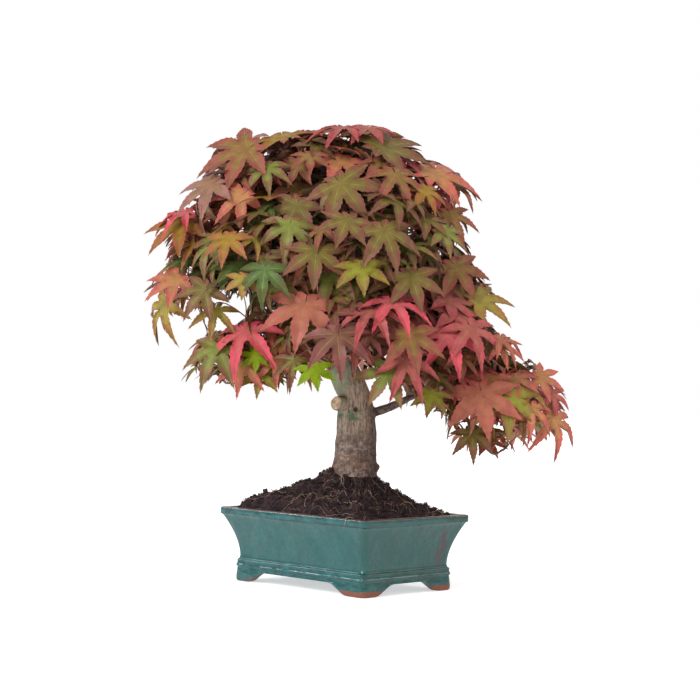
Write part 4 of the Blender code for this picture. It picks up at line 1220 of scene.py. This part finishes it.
def limbs_bmesh(trunk_sides, trunk_rings, bough_sides, bough_rings, extra=0.0):
    """Trunk, stub and boughs as overlapping closed skins, in the tree's frame."""
    bm = trunk_bmesh(trunk_sides, trunk_rings, extra)
    add_mesh_of(bm, stub_bmesh(bough_sides, extra))
    for bough in BOUGHS.values():
        add_mesh_of(bm, bough_bmesh(bough, bough_sides, bough_rings, extra))
    return bm


def bark_relief(point):
    """How far the bark stands out at a point of the tree: lumps, upright ribs and creases."""
    girth = Vector((point.x, point.y, point.z * 0.10))
    ribs = noise.noise(girth / 2.4) * 0.36
    lumps = noise.noise(point / 11.0) * 0.7
    low = math.exp(-max(0.0, point.z - 118.0) / 20.0)
    crease = noise.noise(Vector((point.x / 8.0, point.y / 8.0, point.z / 1.9))) * 0.55 * low
    crease += noise.noise(point / 3.4) * 0.5 * low
    thick = min(1.0, max(0.15, (330.0 - point.z) / 150.0))
    return (ribs + lumps + crease) * thick


def make_limbs(settings):
    """Bark of the trunk, the stub and the boughs, grown together where they meet."""
    rough = limbs_bmesh(TRUNK_SIDES, TRUNK_RINGS, BOUGH_SIDES, BOUGH_RINGS)
    bmesh.ops.create_icosphere(rough, subdivisions=3, radius=ROOT_KNOB_RADIUS,
                               matrix=Matrix.Translation(ROOT_KNOB))
    mesh = to_mesh("limbs", rough, TREE)
    mesh = evaluated_mesh("bark", mesh, ("REMESH", {"mode": "VOXEL", "voxel_size": settings.voxel}),
                          ("SMOOTH", {"factor": 0.5, "iterations": 5}))
    bm = bmesh.new()
    bm.from_mesh(mesh)
    bpy.data.meshes.remove(mesh)
    bmesh.ops.transform(bm, matrix=TREE.inverted(), verts=bm.verts)
    bm.normal_update()
    moves = [(vertex, vertex.normal * bark_relief(vertex.co)) for vertex in bm.verts]
    for vertex, move in moves:
        vertex.co += move
        vertex.co.z = max(vertex.co.z, GROUND - 1.0)
    axis = (STUB_END - STUB_BASE).normalized()
    for face in bm.faces:
        middle = face.calc_center_median() - STUB_END
        on_cut = middle.length < STUB_RADIUS * 0.98 and abs(middle.dot(axis)) < 1.6
        if on_cut and face.normal.dot(axis) > 0.55:
            face.material_index = 1
    for vertex in bm.verts:
        if vertex.co.z < GROUND + 1.0:
            continue
        scar = (vertex.co - SCAR).length
        if scar < SCAR_RADIUS:
            vertex.co -= vertex.normal * SCAR_DEPTH * (1.0 - scar / SCAR_RADIUS)
    finishes = [bark_material(settings), wood_material(settings)]
    return new_piece("bark", to_mesh("bark", bm, TREE, 70.0), finishes, "bark", "trunk",
                     *("bough_" + name for name in BOUGHS))


def sight(across, down):
    """Direction, in the tree's frame, in which the camera sees a pixel of the photograph."""
    middle = PHOTO_SIZE / 2
    x, y = across - middle, middle - down
    cosine, sine = math.cos(CAMERA_ROLL), math.sin(CAMERA_ROLL)
    u, v = cosine * x - sine * y, sine * x + cosine * y
    ahead, right, up = camera_axes()
    return (ahead + right * (u / FOCAL_PIXELS) + up * (v / FOCAL_PIXELS)).normalized()


def camera_axes():
    """The camera's directions ahead, right and up before its roll, in the tree's frame."""
    level = Vector((-math.sin(CAMERA_YAW), math.cos(CAMERA_YAW), 0.0))
    ahead = level * math.cos(CAMERA_PITCH) + UP * math.sin(CAMERA_PITCH)
    right = ahead.cross(UP).normalized()
    return ahead, right, right.cross(ahead)


def camera_place():
    """Where the camera stands, in the tree's frame."""
    return Vector((0.0, -CAMERA_DISTANCE, CAMERA_HEIGHT))


def seen_pixel(point):
    """Pixel of the photograph at which the camera sees a point of the tree's frame."""
    ahead, right, up = camera_axes()
    way = point - camera_place()
    u = FOCAL_PIXELS * way.dot(right) / way.dot(ahead)
    v = FOCAL_PIXELS * way.dot(up) / way.dot(ahead)
    cosine, sine = math.cos(CAMERA_ROLL), math.sin(CAMERA_ROLL)
    return (PHOTO_SIZE / 2 + cosine * u + sine * v, PHOTO_SIZE / 2 + sine * u - cosine * v)


def lobe_shape(share):
    """Half width of a lobe along its length, as a share of its widest."""
    for (low, start), (high, end) in zip(LOBE_SHAPE, LOBE_SHAPE[1:]):
        if share <= high:
            return start + (end - start) * (share - low) / (high - low)
    return 0.0


def half_width(lobe, share, form):
    """Half width of a lobe at a share of its length, without its teeth."""
    return lobe.length ** 0.5 * form.width * LOBE_HALF_WIDTH * lobe_shape(share)


def leaf_template(form):
    """Mesh of a leaf with a middle lobe of length 1 along +Y and its stalk at the origin.

    Each face's material index is its zone: vein, heart, middle or edge of the blade.
    """
    bm = bmesh.new()
    joint = bm.verts.new((0, 0, 0))
    notches = {}
    for side in (1, -1):
        for index, angle in enumerate(NOTCH_ANGLES):
            reach = LOBES[index].after
            way = math.radians(angle) * side
            place = (reach * math.sin(way), reach * math.cos(way))
            notches[index, side] = bm.verts.new(held(place, 0.0, form))
    for index, lobe in enumerate(LOBES):
        for side in ((1,) if index == 0 else (1, -1)):
            if index:
                before = notches[index - 1, side]
                after = notches[index, side]
            else:
                before, after = notches[0, -1], notches[0, 1]
            add_lobe(bm, joint, lobe, side, before, after, form, index == len(LOBES) - 1)
    bmesh.ops.recalc_face_normals(bm, faces=bm.faces)
    if sum(face.normal.z for face in bm.faces) < 0:
        bmesh.ops.reverse_faces(bm, faces=bm.faces)
    return plain_mesh("leaf_template", bm)


def held(place, aside, form):
    """Point of the blade raised by the fold at its distance aside from a vein and lowered by the droop."""
    x, y = place
    reach = math.hypot(x, y)
    return Vector((x, y, form.fold * aside - form.droop * reach ** 2 - form.curl * reach ** 5))


def add_lobe(bm, joint, lobe, side, before, after, form, small):
    """One lobe of the leaf, with a vein down its middle and a toothed margin on both sides."""
    turn = Matrix.Rotation(-math.radians(lobe.angle) * side, 2)

    def spot(along, aside):
        return held(turn @ Vector((aside, along)), abs(aside), form)

    steps = (0.40, 1.0) if small else (0.30, 0.52, 0.76, 1.0)
    vein = []
    for share in steps[:-1]:
        half = VEIN_HALF_WIDTH * (1.15 - share)
        vein.append([bm.verts.new(spot(lobe.length * share, half * way)) for way in (-side, side)])
    tip = bm.verts.new(spot(lobe.length, 0.0))
    for way, notch in ((0, before), (1, after)):
        sign = (-side, side)[way]
        start = max(0.28, (Vector(notch.co[:2]).length * 0.92) / lobe.length)
        teeth = 2 if small else 6
        pitch = (1.0 - start) / (teeth + 0.5)
        margin = []
        for tooth in range(teeth):
            for step, out in ((TOOTH_SLOPE, TOOTH), (1.0, 0.0)):
                share = start + pitch * (tooth + step)
                margin.append(bm.verts.new(spot(lobe.length * share,
                                                (half_width(lobe, share, form) + out) * sign)))
        ribs = [row[way] for row in vein]
        if small:
            faces = (((joint, ribs[0], margin[0], notch), 1),
                     ((ribs[0], tip, *margin[::-1]), 3))
        else:
            inner = [bm.verts.new(spot(lobe.length * share, half_width(lobe, share, form) * 0.5 * sign))
                     for share in steps[:-1]]
            faces = (((joint, ribs[0], ribs[1], inner[1], inner[0], notch), 1),
                     ((ribs[1], ribs[2], tip, inner[2], inner[1]), 2),
                     ((inner[0], inner[1], *margin[3::-1], notch), 2),
                     ((inner[1], inner[2], tip, *margin[:2:-1]), 3))
        for corners, zone in faces:
            bm.faces.new(corners if sign > 0 else tuple(reversed(corners))).material_index = zone
    first, second = zip(*vein)
    bm.faces.new((joint, *first, tip, *reversed(second))).material_index = 0


def star_points(lobe):
    """Simple outline of a leaf, for keeping leaves apart."""
    half = []
    for index, part in enumerate(LOBES):
        half.append((part.angle, part.length))
        half.append((NOTCH_ANGLES[index], part.after))
    outline = half + [(-angle, reach) for angle, reach in reversed(half[1:])]
    return [lobe * Vector((math.sin(math.radians(angle)) * reach, math.cos(math.radians(angle)) * reach,
                           -0.12 * reach * reach)) for angle, reach in outline]


STAR_COUNT = len(star_points(1.0))
STAR_FACES = [(there % STAR_COUNT, there - 1, middle) for there in range(1, STAR_COUNT + 1)
              for middle in (STAR_COUNT, STAR_COUNT + 1)]


def placed_leaf(joint, normal, ahead, lobe, form, tint, depth):
    """Leaf with its stalk's end at the joint, its face towards normal and its middle lobe ahead."""
    turn = Matrix((ahead.cross(normal), ahead, normal)).transposed()
    thick = Vector((0, 0, 0.5))
    outline = star_points(lobe)
    points = [joint + turn @ point for point in [*outline, thick, -thick]]
    core = [joint + turn @ point for point in [*(LEAF_CORE * point for point in outline), thick, -thick]]
    tree = BVHTree.FromPolygons(core, STAR_FACES)
    middle = joint + ahead * lobe * LEAF_CENTRE
    mass = MASS_NAMES[int(np.argmin(((MASS_CENTRES - np.array(middle)) ** 2).sum(axis=1)))]
    return Leaf(joint, normal, ahead, lobe, form, tint, tree, points, mass, depth)


def crown_share(points):
    """For each point, how far out it lies in the mass it is deepest in: 1 on that mass's surface."""
    gaps = (np.array(points, float)[:, None, :] - MASS_CENTRES[None]) / MASS_REACHES[None]
    return np.sqrt((gaps ** 2).sum(axis=2)).min(axis=1)


class Crown:
    """The leaves placed so far, with what a new one must keep clear of."""

    def __init__(self, limbs):
        self.limbs = limbs
        self.leaves = []
        self.middles = np.zeros((0, 3))

    def fits(self, leaf, reach):
        """Whether a leaf stays in the crown and touches no limb and no other leaf."""
        if crown_share(leaf.points).max() > reach or leaf.tree.overlap(self.limbs):
            return False
        if len(self.leaves):
            middle = np.array(leaf.joint + leaf.ahead * leaf.lobe * LEAF_CENTRE)
            gaps = np.linalg.norm(self.middles - middle, axis=1)
            for index in np.flatnonzero(gaps < 2.1 * leaf.lobe):
                if leaf.tree.overlap(self.leaves[index].tree):
                    return False
        return True

    def room(self, place, spacing):
        """Whether no leaf's middle lies nearer to a place than the spacing."""
        if not len(self.leaves):
            return True
        return np.linalg.norm(self.middles - np.array(place), axis=1).min() > spacing

    def add(self, leaf):
        """Keep a leaf."""
        self.leaves.append(leaf)
        middle = leaf.joint + leaf.ahead * leaf.lobe * LEAF_CENTRE
        self.middles = np.vstack([self.middles, np.array(middle)[None]])


def crown_front(across, down):
    """Where the camera's sight of a pixel first meets the crown, in the tree's frame."""
    way = sight(across, down)
    start = camera_place()
    steps = [start + way * (CAMERA_DISTANCE + ahead) for ahead in range(-190, 190, 2)]
    shares = crown_share(steps)
    inside = np.flatnonzero(shares <= 1.0)
    index = int(inside[0]) if len(inside) else int(np.argmin(shares))
    return steps[index], way


def place_shown_leaves(crown):
    """Place the leaves that stand out in the photograph, each as far forward as it fits."""
    for shown in SHOWN_LEAVES:
        front, way = crown_front(shown.across, shown.down)
        raised, aside = math.radians(shown.raised + SHOWN_RAISE), math.radians(shown.aside)
        normal = Vector((math.sin(aside), -math.cos(aside) * math.cos(raised), math.sin(raised))).normalized()
        turn = math.radians(shown.turn)
        ahead = Vector((math.sin(turn), 0.0, -math.cos(turn)))
        ahead.y = -ahead.dot(normal) / normal.y
        ahead.normalize()
        for sink in SHOWN_SINKS:
            leaf = placed_leaf(front + way * sink, normal, ahead, shown.lobe, shown.form, shown.tint, 0.0)
            if crown.fits(leaf, SHOWN_REACH):
                crown.add(leaf)
                break
        else:
            print("no room for the shown leaf at", shown.across, shown.down)


def sphere_directions(count):
    """Directions spread evenly over a sphere along a golden-angle spiral."""
    for step in range(count):
        height = 1.0 - 2.0 * (step + 0.5) / count
        level = math.sqrt(1.0 - height * height)
        angle = step * math.pi * (3.0 - math.sqrt(5.0))
        yield Vector((level * math.cos(angle), level * math.sin(angle), height))


def crown_reach(heart, masses, way):
    """How far the masses reach from a heart in a direction, or None where none lies."""
    furthest = None
    for mass in masses:
        start = Vector([(heart[k] - mass.centre[k]) / mass.reach[k] for k in range(3)])
        slope = Vector([way[k] / mass.reach[k] for k in range(3)])
        half = start.dot(slope) / slope.length_squared
        root = half * half - (start.length_squared - 1.0) / slope.length_squared
        if root > 0.0 and math.sqrt(root) - half > (furthest or 0.0):
            furthest = math.sqrt(root) - half
    return furthest


def leaf_directions(place, rng, loose):
    """Normal and middle lobe's direction of a leaf that slopes down and outward at a place."""
    nearest = int(np.argmin(((MASS_CENTRES - np.array(place)) ** 2).sum(axis=1)))
    from_mass = (place - Vector(MASS_CENTRES[nearest])).normalized()
    out = (from_mass + (place - CROWN_HEART).normalized()).normalized()
    flat_out = Vector((out.x, out.y, 0.0)).normalized()
    swing = rng.uniform(-1.0, 1.0) * LEAF_SWING
    heading = Matrix.Rotation(swing, 3, "Z") @ flat_out
    steep = math.radians(rng.uniform(22.0, 62.0)) - max(out.z, 0.0) * math.radians(28.0)
    normal = UP * math.cos(steep) + heading * math.sin(steep)
    normal += Vector([rng.uniform(-0.26, 0.26) for _ in range(3)]) * loose
    normal.normalize()
    ahead = heading * math.cos(steep) - UP * math.sin(steep)
    return normal, (ahead - normal * ahead.dot(normal)).normalized()


def in_sky_gap(points):
    """Whether a leaf at these points would cover a patch of sky."""
    for point in points:
        across, down = seen_pixel(point)
        for x, y, half_width, half_height in SKY_GAPS:
            if ((across - x) / half_width) ** 2 + ((down - y) / half_height) ** 2 < 1.0:
                return True
    return False


def pick_tint(mass, depth, rng):
    """Tint of a spray by the mass it grows in, greener deep inside, where its darkest green is painted shade.
    """
    mix = INNER_TINTS if depth > INNER_DEPTH else MASSES[mass].tints
    return rng.choices(list(mix), weights=list(mix.values()))[0]


def fill_crown(crown, settings, rng):
    """Leaves all over the crown, the outer shells first and closest together."""
    spacing, inner = settings.spacing / MM, settings.inner_spacing / MM
    shells = ((9.0, spacing), (15.0, spacing), (22.0, spacing), (31.0, inner), (42.0, inner),
              (56.0, inner), (72.0, inner * 1.1), (90.0, inner * 1.2))
    hearts = ((CROWN_HEART, list(MASSES.values())), (OUTLYING_HEART, [MASSES[OUTLYING_MASS]]))
    for depth, apart in shells:
        for heart, masses in hearts:
            for way in sphere_directions(settings.sites):
                reach = crown_reach(heart, masses, way)
                place = heart + way * ((reach or 0.0) - depth)
                if reach and reach > depth + CROWN_CORE and crown.room(place, apart):
                    try_leaf(crown, place, way, depth, settings, rng)


def try_leaf(crown, place, way, depth, settings, rng):
    """Add a leaf at a place or a little further in, if one fits there in some turn and size."""
    for attempt, push in enumerate(LEAF_PUSH):
        size = 1.0 - LEAF_SHRINK * attempt
        lobe = rng.uniform(settings.shortest, settings.longest) / MM * size
        normal, ahead = leaf_directions(place, rng, 1.0 + depth / 40.0)
        joint = place - way * push - ahead * lobe * LEAF_CENTRE
        leaf = placed_leaf(joint, normal, ahead, lobe, rng.randrange(len(FORMS)), None, depth)
        if crown.fits(leaf, LEAF_REACH) and not in_sky_gap(leaf.points):
            crown.add(leaf)
            return


def leaf_groups(leaves, start, count):
    """Leaves in groups of neighbours, nearest to the stem's foot first."""
    waiting = sorted(range(len(leaves)), key=lambda index: (leaves[index].joint - start).length)
    while waiting:
        first = leaves[waiting[0]]
        waiting.sort(key=lambda index: (leaves[index].joint - first.joint).length)
        yield [leaves[index] for index in waiting[:count]]
        waiting = sorted(waiting[count:], key=lambda index: (leaves[index].joint - start).length)


def crossings(start, end, trees):
    """How many of the search trees the straight line between two points runs through."""
    way = end - start
    return sum(tree.ray_cast(start, way.normalized(), way.length)[0] is not None for tree in trees)


class Twigs:
    """Twigs of one mass as a tree of knots, each with its parent and the leaves it carries."""

    def __init__(self, start, heading):
        self.points = [start]
        self.parents = [None]
        self.loads = [0]
        self.heading = heading

    def grow(self, point, parent):
        """Add a knot on a parent and return its number."""
        self.points.append(point)
        self.parents.append(parent)
        self.loads.append(0)
        return len(self.points) - 1

    def carry(self, knot):
        """Count one more leaf on a knot and on all that carries it."""
        while knot is not None:
            self.loads[knot] += 1
            knot = self.parents[knot]

    def radius(self, knot):
        """Radius of the twig that ends at a knot, from the leaves that it carries."""
        return min(2.5, 0.50 + 0.30 * max(self.loads[knot], 1) ** 0.45)

    def strands(self):
        """A bent strand from each knot's parent to the knot."""
        for knot, parent in enumerate(self.parents):
            if parent is None or not self.loads[knot]:
                continue
            start, end = self.points[parent], self.points[knot]
            above = self.parents[parent]
            lead = (start - self.points[above]).normalized() if above is not None else self.heading
            bend = start + lead * (end - start).length * 0.35
            low, high = self.radius(knot) * 1.15, self.radius(knot) * 0.9
            strand = []
            for step in range(6):
                t = step / 5
                point = start * (1 - t) ** 2 + bend * (2 * t * (1 - t)) + end * t * t
                strand.append((point, low + (high - low) * t))
            yield strand


def stem_start(name):
    """Foot of a mass's stem in its bough's tip or the trunk's, and its heading."""
    if name in BOUGHS:
        route = smooth_route(BOUGHS[name].route, BOUGH_RINGS)
    else:
        route = [Vector(station[:3]) for station in TRUNK]
    heading = (route[-1] - route[-2]).normalized()
    return route[-1] - heading * 2.0, heading


def grow_twigs(name, leaves, limbs, rng):
    """Twigs and stalks of one mass, and the tint of each of its sprays."""
    start, heading = stem_start(name)
    centre = Vector(MASSES[name].centre)
    twigs = Twigs(start, heading)
    middle = start.lerp(centre, 0.5)
    first = twigs.grow(start + heading * (middle - start).length * 0.5, 0)
    twigs.grow(middle, first)
    stalks, tinted = [], []
    trees = [leaf.tree for leaf in leaves]
    for members in leaf_groups(leaves, start, SPRAY):
        joint = sum((leaf.joint for leaf in members), Vector()) / len(members)
        inward = sum((leaf.normal for leaf in members), Vector()).normalized()
        back = sum((leaf.ahead for leaf in members), Vector()).normalized()
        choices = []
        for depth in TWIG_DEPTHS:
            knot = joint - inward * depth - back * 8.0
            near = sorted(range(len(twigs.points)), key=lambda index: (twigs.points[index] - knot).length)
            for root in near[:6]:
                place = twigs.points[root]
                blocked = crossings(place, knot, [limbs]) if root else 0
                cost = (crossings(place, knot, trees) + (place - knot).length / 26.0 + 4 * blocked
                        + 0.4 * ((place - start).length > (knot - start).length))
                choices.append((cost, len(choices), root, knot))
        root, knot = min(choices)[2:]
        half = twigs.grow(twigs.points[root].lerp(knot, 0.5)
                          + Vector([rng.uniform(-2.5, 2.5) for _ in range(3)]), root)
        end = twigs.grow(knot, half)
        tint = pick_tint(name, sum(leaf.depth for leaf in members) / len(members), rng)
        for leaf in members:
            twigs.carry(end)
            stalks.append(leaf_stalk(leaf, knot, rng))
            tinted.append(leaf if leaf.tint else leaf._replace(tint=tint))
    return list(twigs.strands()), stalks, tinted


def leaf_stalk(leaf, knot, rng):
    """Bent stalk from a twig's knot to the base of a leaf's blade."""
    reach = (leaf.joint - knot).length
    leave = leaf.joint - leaf.ahead * reach * 0.35 - leaf.normal * reach * 0.12
    swing = Vector([rng.uniform(-1, 1) for _ in range(3)]) * reach * 0.08
    middle = knot.lerp(leave, 0.6) + swing
    end = leaf.joint + leaf.ahead * 0.6 - leaf.normal * 0.15
    points = smooth_route((knot, middle, leave.lerp(end, 0.45), end), 7)
    return [(point, 0.62 - 0.03 * index) for index, point in enumerate(points)]


def make_twigs(strands, stalks):
    """Pieces for the twigs and for the leaves' stalks."""
    bark = twig_material("twig_bark", (0.135, 0.085, 0.060), (0.120, 0.130, 0.070))
    new_piece("twigs", strand_mesh("twigs", strands, TREE), [bark], "bark", *MASS_NODES)
    red = twig_material("leaf_stalk", (0.330, 0.075, 0.060), (0.300, 0.160, 0.070), 0.5)
    stalk_mesh = strand_mesh("leaf_stalks", stalks, TREE, 0)
    new_piece("leaf_stalks", stalk_mesh, [red], "crimson_leaves", *MASS_NODES)


def make_leaves(leaves, rng):
    """One piece for each family of tints, with every leaf's zones in plain colours."""
    templates = [leaf_template(form) for form in FORMS]
    veins = {name: leaf_material("vein_" + name, colour) for name, colour in VEINS.items()}
    for family in ("green", "olive", "bronze", "crimson"):
        finishes, slots = [], {}
        for name, tint in TINTS.items():
            if tint.family == family:
                slots[name] = len(finishes)
                finishes.append(veins[tint.vein])
                for zone in ZONES[1:]:
                    finishes.append(leaf_material(name + "_" + zone, getattr(tint, zone)))
        bm = bmesh.new()
        for leaf in (leaf for leaf in leaves if leaf.tint in slots):
            add_leaf(bm, leaf, templates[leaf.form], slots[leaf.tint], rng)
        mesh = plain_mesh("leaves_" + family, bm)
        mesh.shade_smooth()
        mesh.set_sharp_from_angle(angle=math.radians(22.0))
        new_piece(family + "_foliage", mesh, finishes, family + "_leaves", *MASS_NODES)
    for template in templates:
        bpy.data.meshes.remove(template)


def add_leaf(bm, leaf, template, first_slot, rng):
    """Add one leaf to a bmesh in the model's frame, with its zones in its tint's materials."""
    points, faces = len(bm.verts), len(bm.faces)
    bm.from_mesh(template)
    bm.verts.ensure_lookup_table()
    bm.faces.ensure_lookup_table()
    turn = Matrix((leaf.ahead.cross(leaf.normal), leaf.ahead, leaf.normal)).transposed().to_4x4()
    width, relief = rng.uniform(0.92, 1.08), rng.uniform(0.7, 1.5)
    shape = Matrix.Diagonal((leaf.lobe * width, leaf.lobe, leaf.lobe * relief, 1.0))
    matrix = TREE @ Matrix.Translation(leaf.joint) @ turn @ shape
    bmesh.ops.transform(bm, matrix=matrix, verts=bm.verts[points:])
    for face in bm.faces[faces:]:
        face.material_index += first_slot


def make_crown(settings):
    """Leaves, their stalks and the twigs, all over the crown."""
    rng = random.Random(SEED)
    guard = limbs_bmesh(12, 24, 8, 8, extra=2.0)
    limbs = BVHTree.FromBMesh(guard)
    guard.free()
    crown = Crown(limbs)
    place_shown_leaves(crown)
    fill_crown(crown, settings, rng)
    strands, stalks, leaves = [], [], []
    for name in MASSES:
        own = [leaf for leaf in crown.leaves if leaf.mass == name]
        more_strands, more_stalks, tinted = grow_twigs(name, own, limbs, rng)
        strands += more_strands
        stalks += more_stalks
        leaves += tinted
    print(len(leaves), "leaves,", len(strands), "twigs")
    make_twigs(strands, stalks)
    make_leaves(leaves, rng)


def area_light(name, place, aim, size, power, colour):
    """Soft oblong light at a place in the tree's frame, in metres from the pot's middle."""
    data = bpy.data.lights.new(name, "AREA")
    data.shape = "RECTANGLE"
    data.size, data.size_y = size
    data.energy = power
    data.color = colour
    lamp = linked(name, data)
    lamp.location = TURN @ Vector(place)
    lamp.rotation_euler = (TURN @ (Vector(aim) - Vector(place))).to_track_quat("-Z", "Y").to_euler()
    return lamp


def seen_or_lit(tree, seen, lit):
    """Socket with one strength where the camera looks and another where light is gathered."""
    add, link = nodes_of(tree)
    strength = add("ShaderNodeMapRange")
    strength.inputs["To Min"].default_value = lit
    strength.inputs["To Max"].default_value = seen
    link(add("ShaderNodeLightPath").outputs["Is Camera Ray"], strength.inputs["Value"])
    return strength.outputs["Result"]


def make_stage(settings):
    """Pale floor, soft lights, even sky and the camera at the photograph's viewing angle."""
    bm = bmesh.new()
    bmesh.ops.create_circle(bm, cap_ends=True, segments=96, radius=12.0)
    bmesh.ops.translate(bm, vec=(0, 0, -0.0002), verts=bm.verts)
    mesh = plain_mesh("floor", bm)
    floor = linked("floor", mesh)
    made, shader, _ = new_material("pale_floor", 0.9, 0.1)
    shader.inputs["Base Color"].default_value = (*settings.floor, 1.0)
    shader.inputs["Emission Color"].default_value = (1.0, 1.0, 1.0, 1.0)
    seen = seen_or_lit(made.node_tree, settings.glow, settings.glow * 0.45)
    made.node_tree.links.new(seen, shader.inputs["Emission Strength"])
    mesh.materials.append(made)
    world = bpy.data.worlds.new("soft_sky")
    world.use_nodes = True
    back = world.node_tree.nodes["Background"]
    back.inputs["Color"].default_value = (1.0, 1.0, 1.0, 1.0)
    seen = seen_or_lit(world.node_tree, 1.0, settings.sky)
    world.node_tree.links.new(seen, back.inputs["Strength"])
    bpy.context.scene.world = world
    sun = bpy.data.lights.new("soft_sun", "SUN")
    sun.energy = settings.sun
    sun.angle = math.radians(28.0)
    lamp = linked("soft_sun", sun)
    lamp.rotation_euler = (TURN @ Vector((0.57, 0.80, -0.62))).to_track_quat("-Z", "Y").to_euler()
    area_light("window", (-1.5, 0.1, 0.85), (0, 0, 0.1), (0.8, 0.12), settings.key * 0.62, (0.90, 0.97, 1.0))
    area_light("front", (-0.75, -1.35, 1.0), (0, 0, 0.12), (0.2, 0.2), settings.key * 0.5, (0.98, 0.99, 1.0))
    area_light("side", (1.5, 0.1, 0.8), (0, 0, 0.12), (0.6, 0.3), settings.key * 0.18, (1.0, 0.80, 0.55))
    fill = area_light("crown_fill", (1.2, -1.1, 0.8), (0.10, 0, 0.35), (0.4, 0.4), settings.key * 0.015,
                      (0.95, 1.0, 1.0))
    fill.data.spread = CROWN_BEAM
    ahead, right, up = camera_axes()
    cosine, sine = math.cos(CAMERA_ROLL), math.sin(CAMERA_ROLL)
    axes = Matrix((right * cosine + up * sine, up * cosine - right * sine, -ahead)).transposed().to_4x4()
    data = bpy.data.cameras.new("camera")
    data.sensor_width = SENSOR_WIDTH
    data.lens = FOCAL_PIXELS / PHOTO_SIZE * SENSOR_WIDTH
    data.clip_start = 0.05
    data.clip_end = 60.0
    camera = linked("camera", data)
    camera.matrix_world = Matrix.Translation(TREE @ camera_place()) @ TURN @ axes
    bpy.context.scene.camera = camera
    bpy.context.scene.view_settings.view_transform = "Standard"


class BONSAI_OT_pot(bpy.types.Operator):
    """Make the glazed pot"""
    bl_idname = "bonsai.pot"
    bl_label = "Glazed pot"

    def execute(self, context):
        make_pot(context.scene.bonsai_pot)
        return {"FINISHED"}


class BONSAI_OT_soil(bpy.types.Operator):
    """Make the heaped soil with its crumbs and fibres"""
    bl_idname = "bonsai.soil"
    bl_label = "Soil"

    def execute(self, context):
        make_soil(context.scene.bonsai_soil, random.Random(SEED))
        return {"FINISHED"}


class BONSAI_OT_limbs(bpy.types.Operator):
    """Make the bark of the trunk and the boughs"""
    bl_idname = "bonsai.limbs"
    bl_label = "Trunk and boughs"

    def execute(self, context):
        make_limbs(context.scene.bonsai_bark)
        return {"FINISHED"}


class BONSAI_OT_crown(bpy.types.Operator):
    """Make the twigs, the stalks and the leaves"""
    bl_idname = "bonsai.crown"
    bl_label = "Twigs and leaves"

    def execute(self, context):
        make_crown(context.scene.bonsai_leaves)
        return {"FINISHED"}


class BONSAI_OT_stage(bpy.types.Operator):
    """Make the floor, the lights and the camera"""
    bl_idname = "bonsai.stage"
    bl_label = "Stage"

    def execute(self, context):
        make_stage(context.scene.bonsai_stage)
        return {"FINISHED"}


class BONSAI_PT_panel(bpy.types.Panel):
    """Panel that lists the bonsai's pieces and their settings"""
    bl_idname = "BONSAI_PT_panel"
    bl_label = "Maple bonsai"
    bl_space_type = "VIEW_3D"
    bl_region_type = "UI"
    bl_category = "Bonsai"

    def draw(self, context):
        for operator, group in STEPS:
            box = self.layout.box()
            box.operator("bonsai." + operator)
            settings = getattr(context.scene, group)
            for key in type(settings).__annotations__:
                box.prop(settings, key)


STEPS = (("pot", "bonsai_pot"), ("soil", "bonsai_soil"), ("limbs", "bonsai_bark"),
         ("crown", "bonsai_leaves"), ("stage", "bonsai_stage"))
GROUPS = (PotSettings, SoilSettings, BarkSettings, LeafSettings, StageSettings)
CLASSES = (*GROUPS, BONSAI_OT_pot, BONSAI_OT_soil, BONSAI_OT_limbs, BONSAI_OT_crown, BONSAI_OT_stage,
           BONSAI_PT_panel)


def register():
    """Register the classes and hang the settings on the scene."""
    for item in CLASSES:
        bpy.utils.register_class(item)
    for (_, name), group in zip(STEPS, GROUPS):
        setattr(bpy.types.Scene, name, PointerProperty(type=group))


def unregister():
    """Undo register."""
    for _, name in STEPS:
        delattr(bpy.types.Scene, name)
    for item in reversed(CLASSES):
        bpy.utils.unregister_class(item)


def main():
    """Make every piece in order."""
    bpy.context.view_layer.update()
    register()
    mottle_group()
    band_group()
    for operator, _ in STEPS:
        getattr(bpy.ops.bonsai, operator)()


if __name__ == "__main__":
    main()
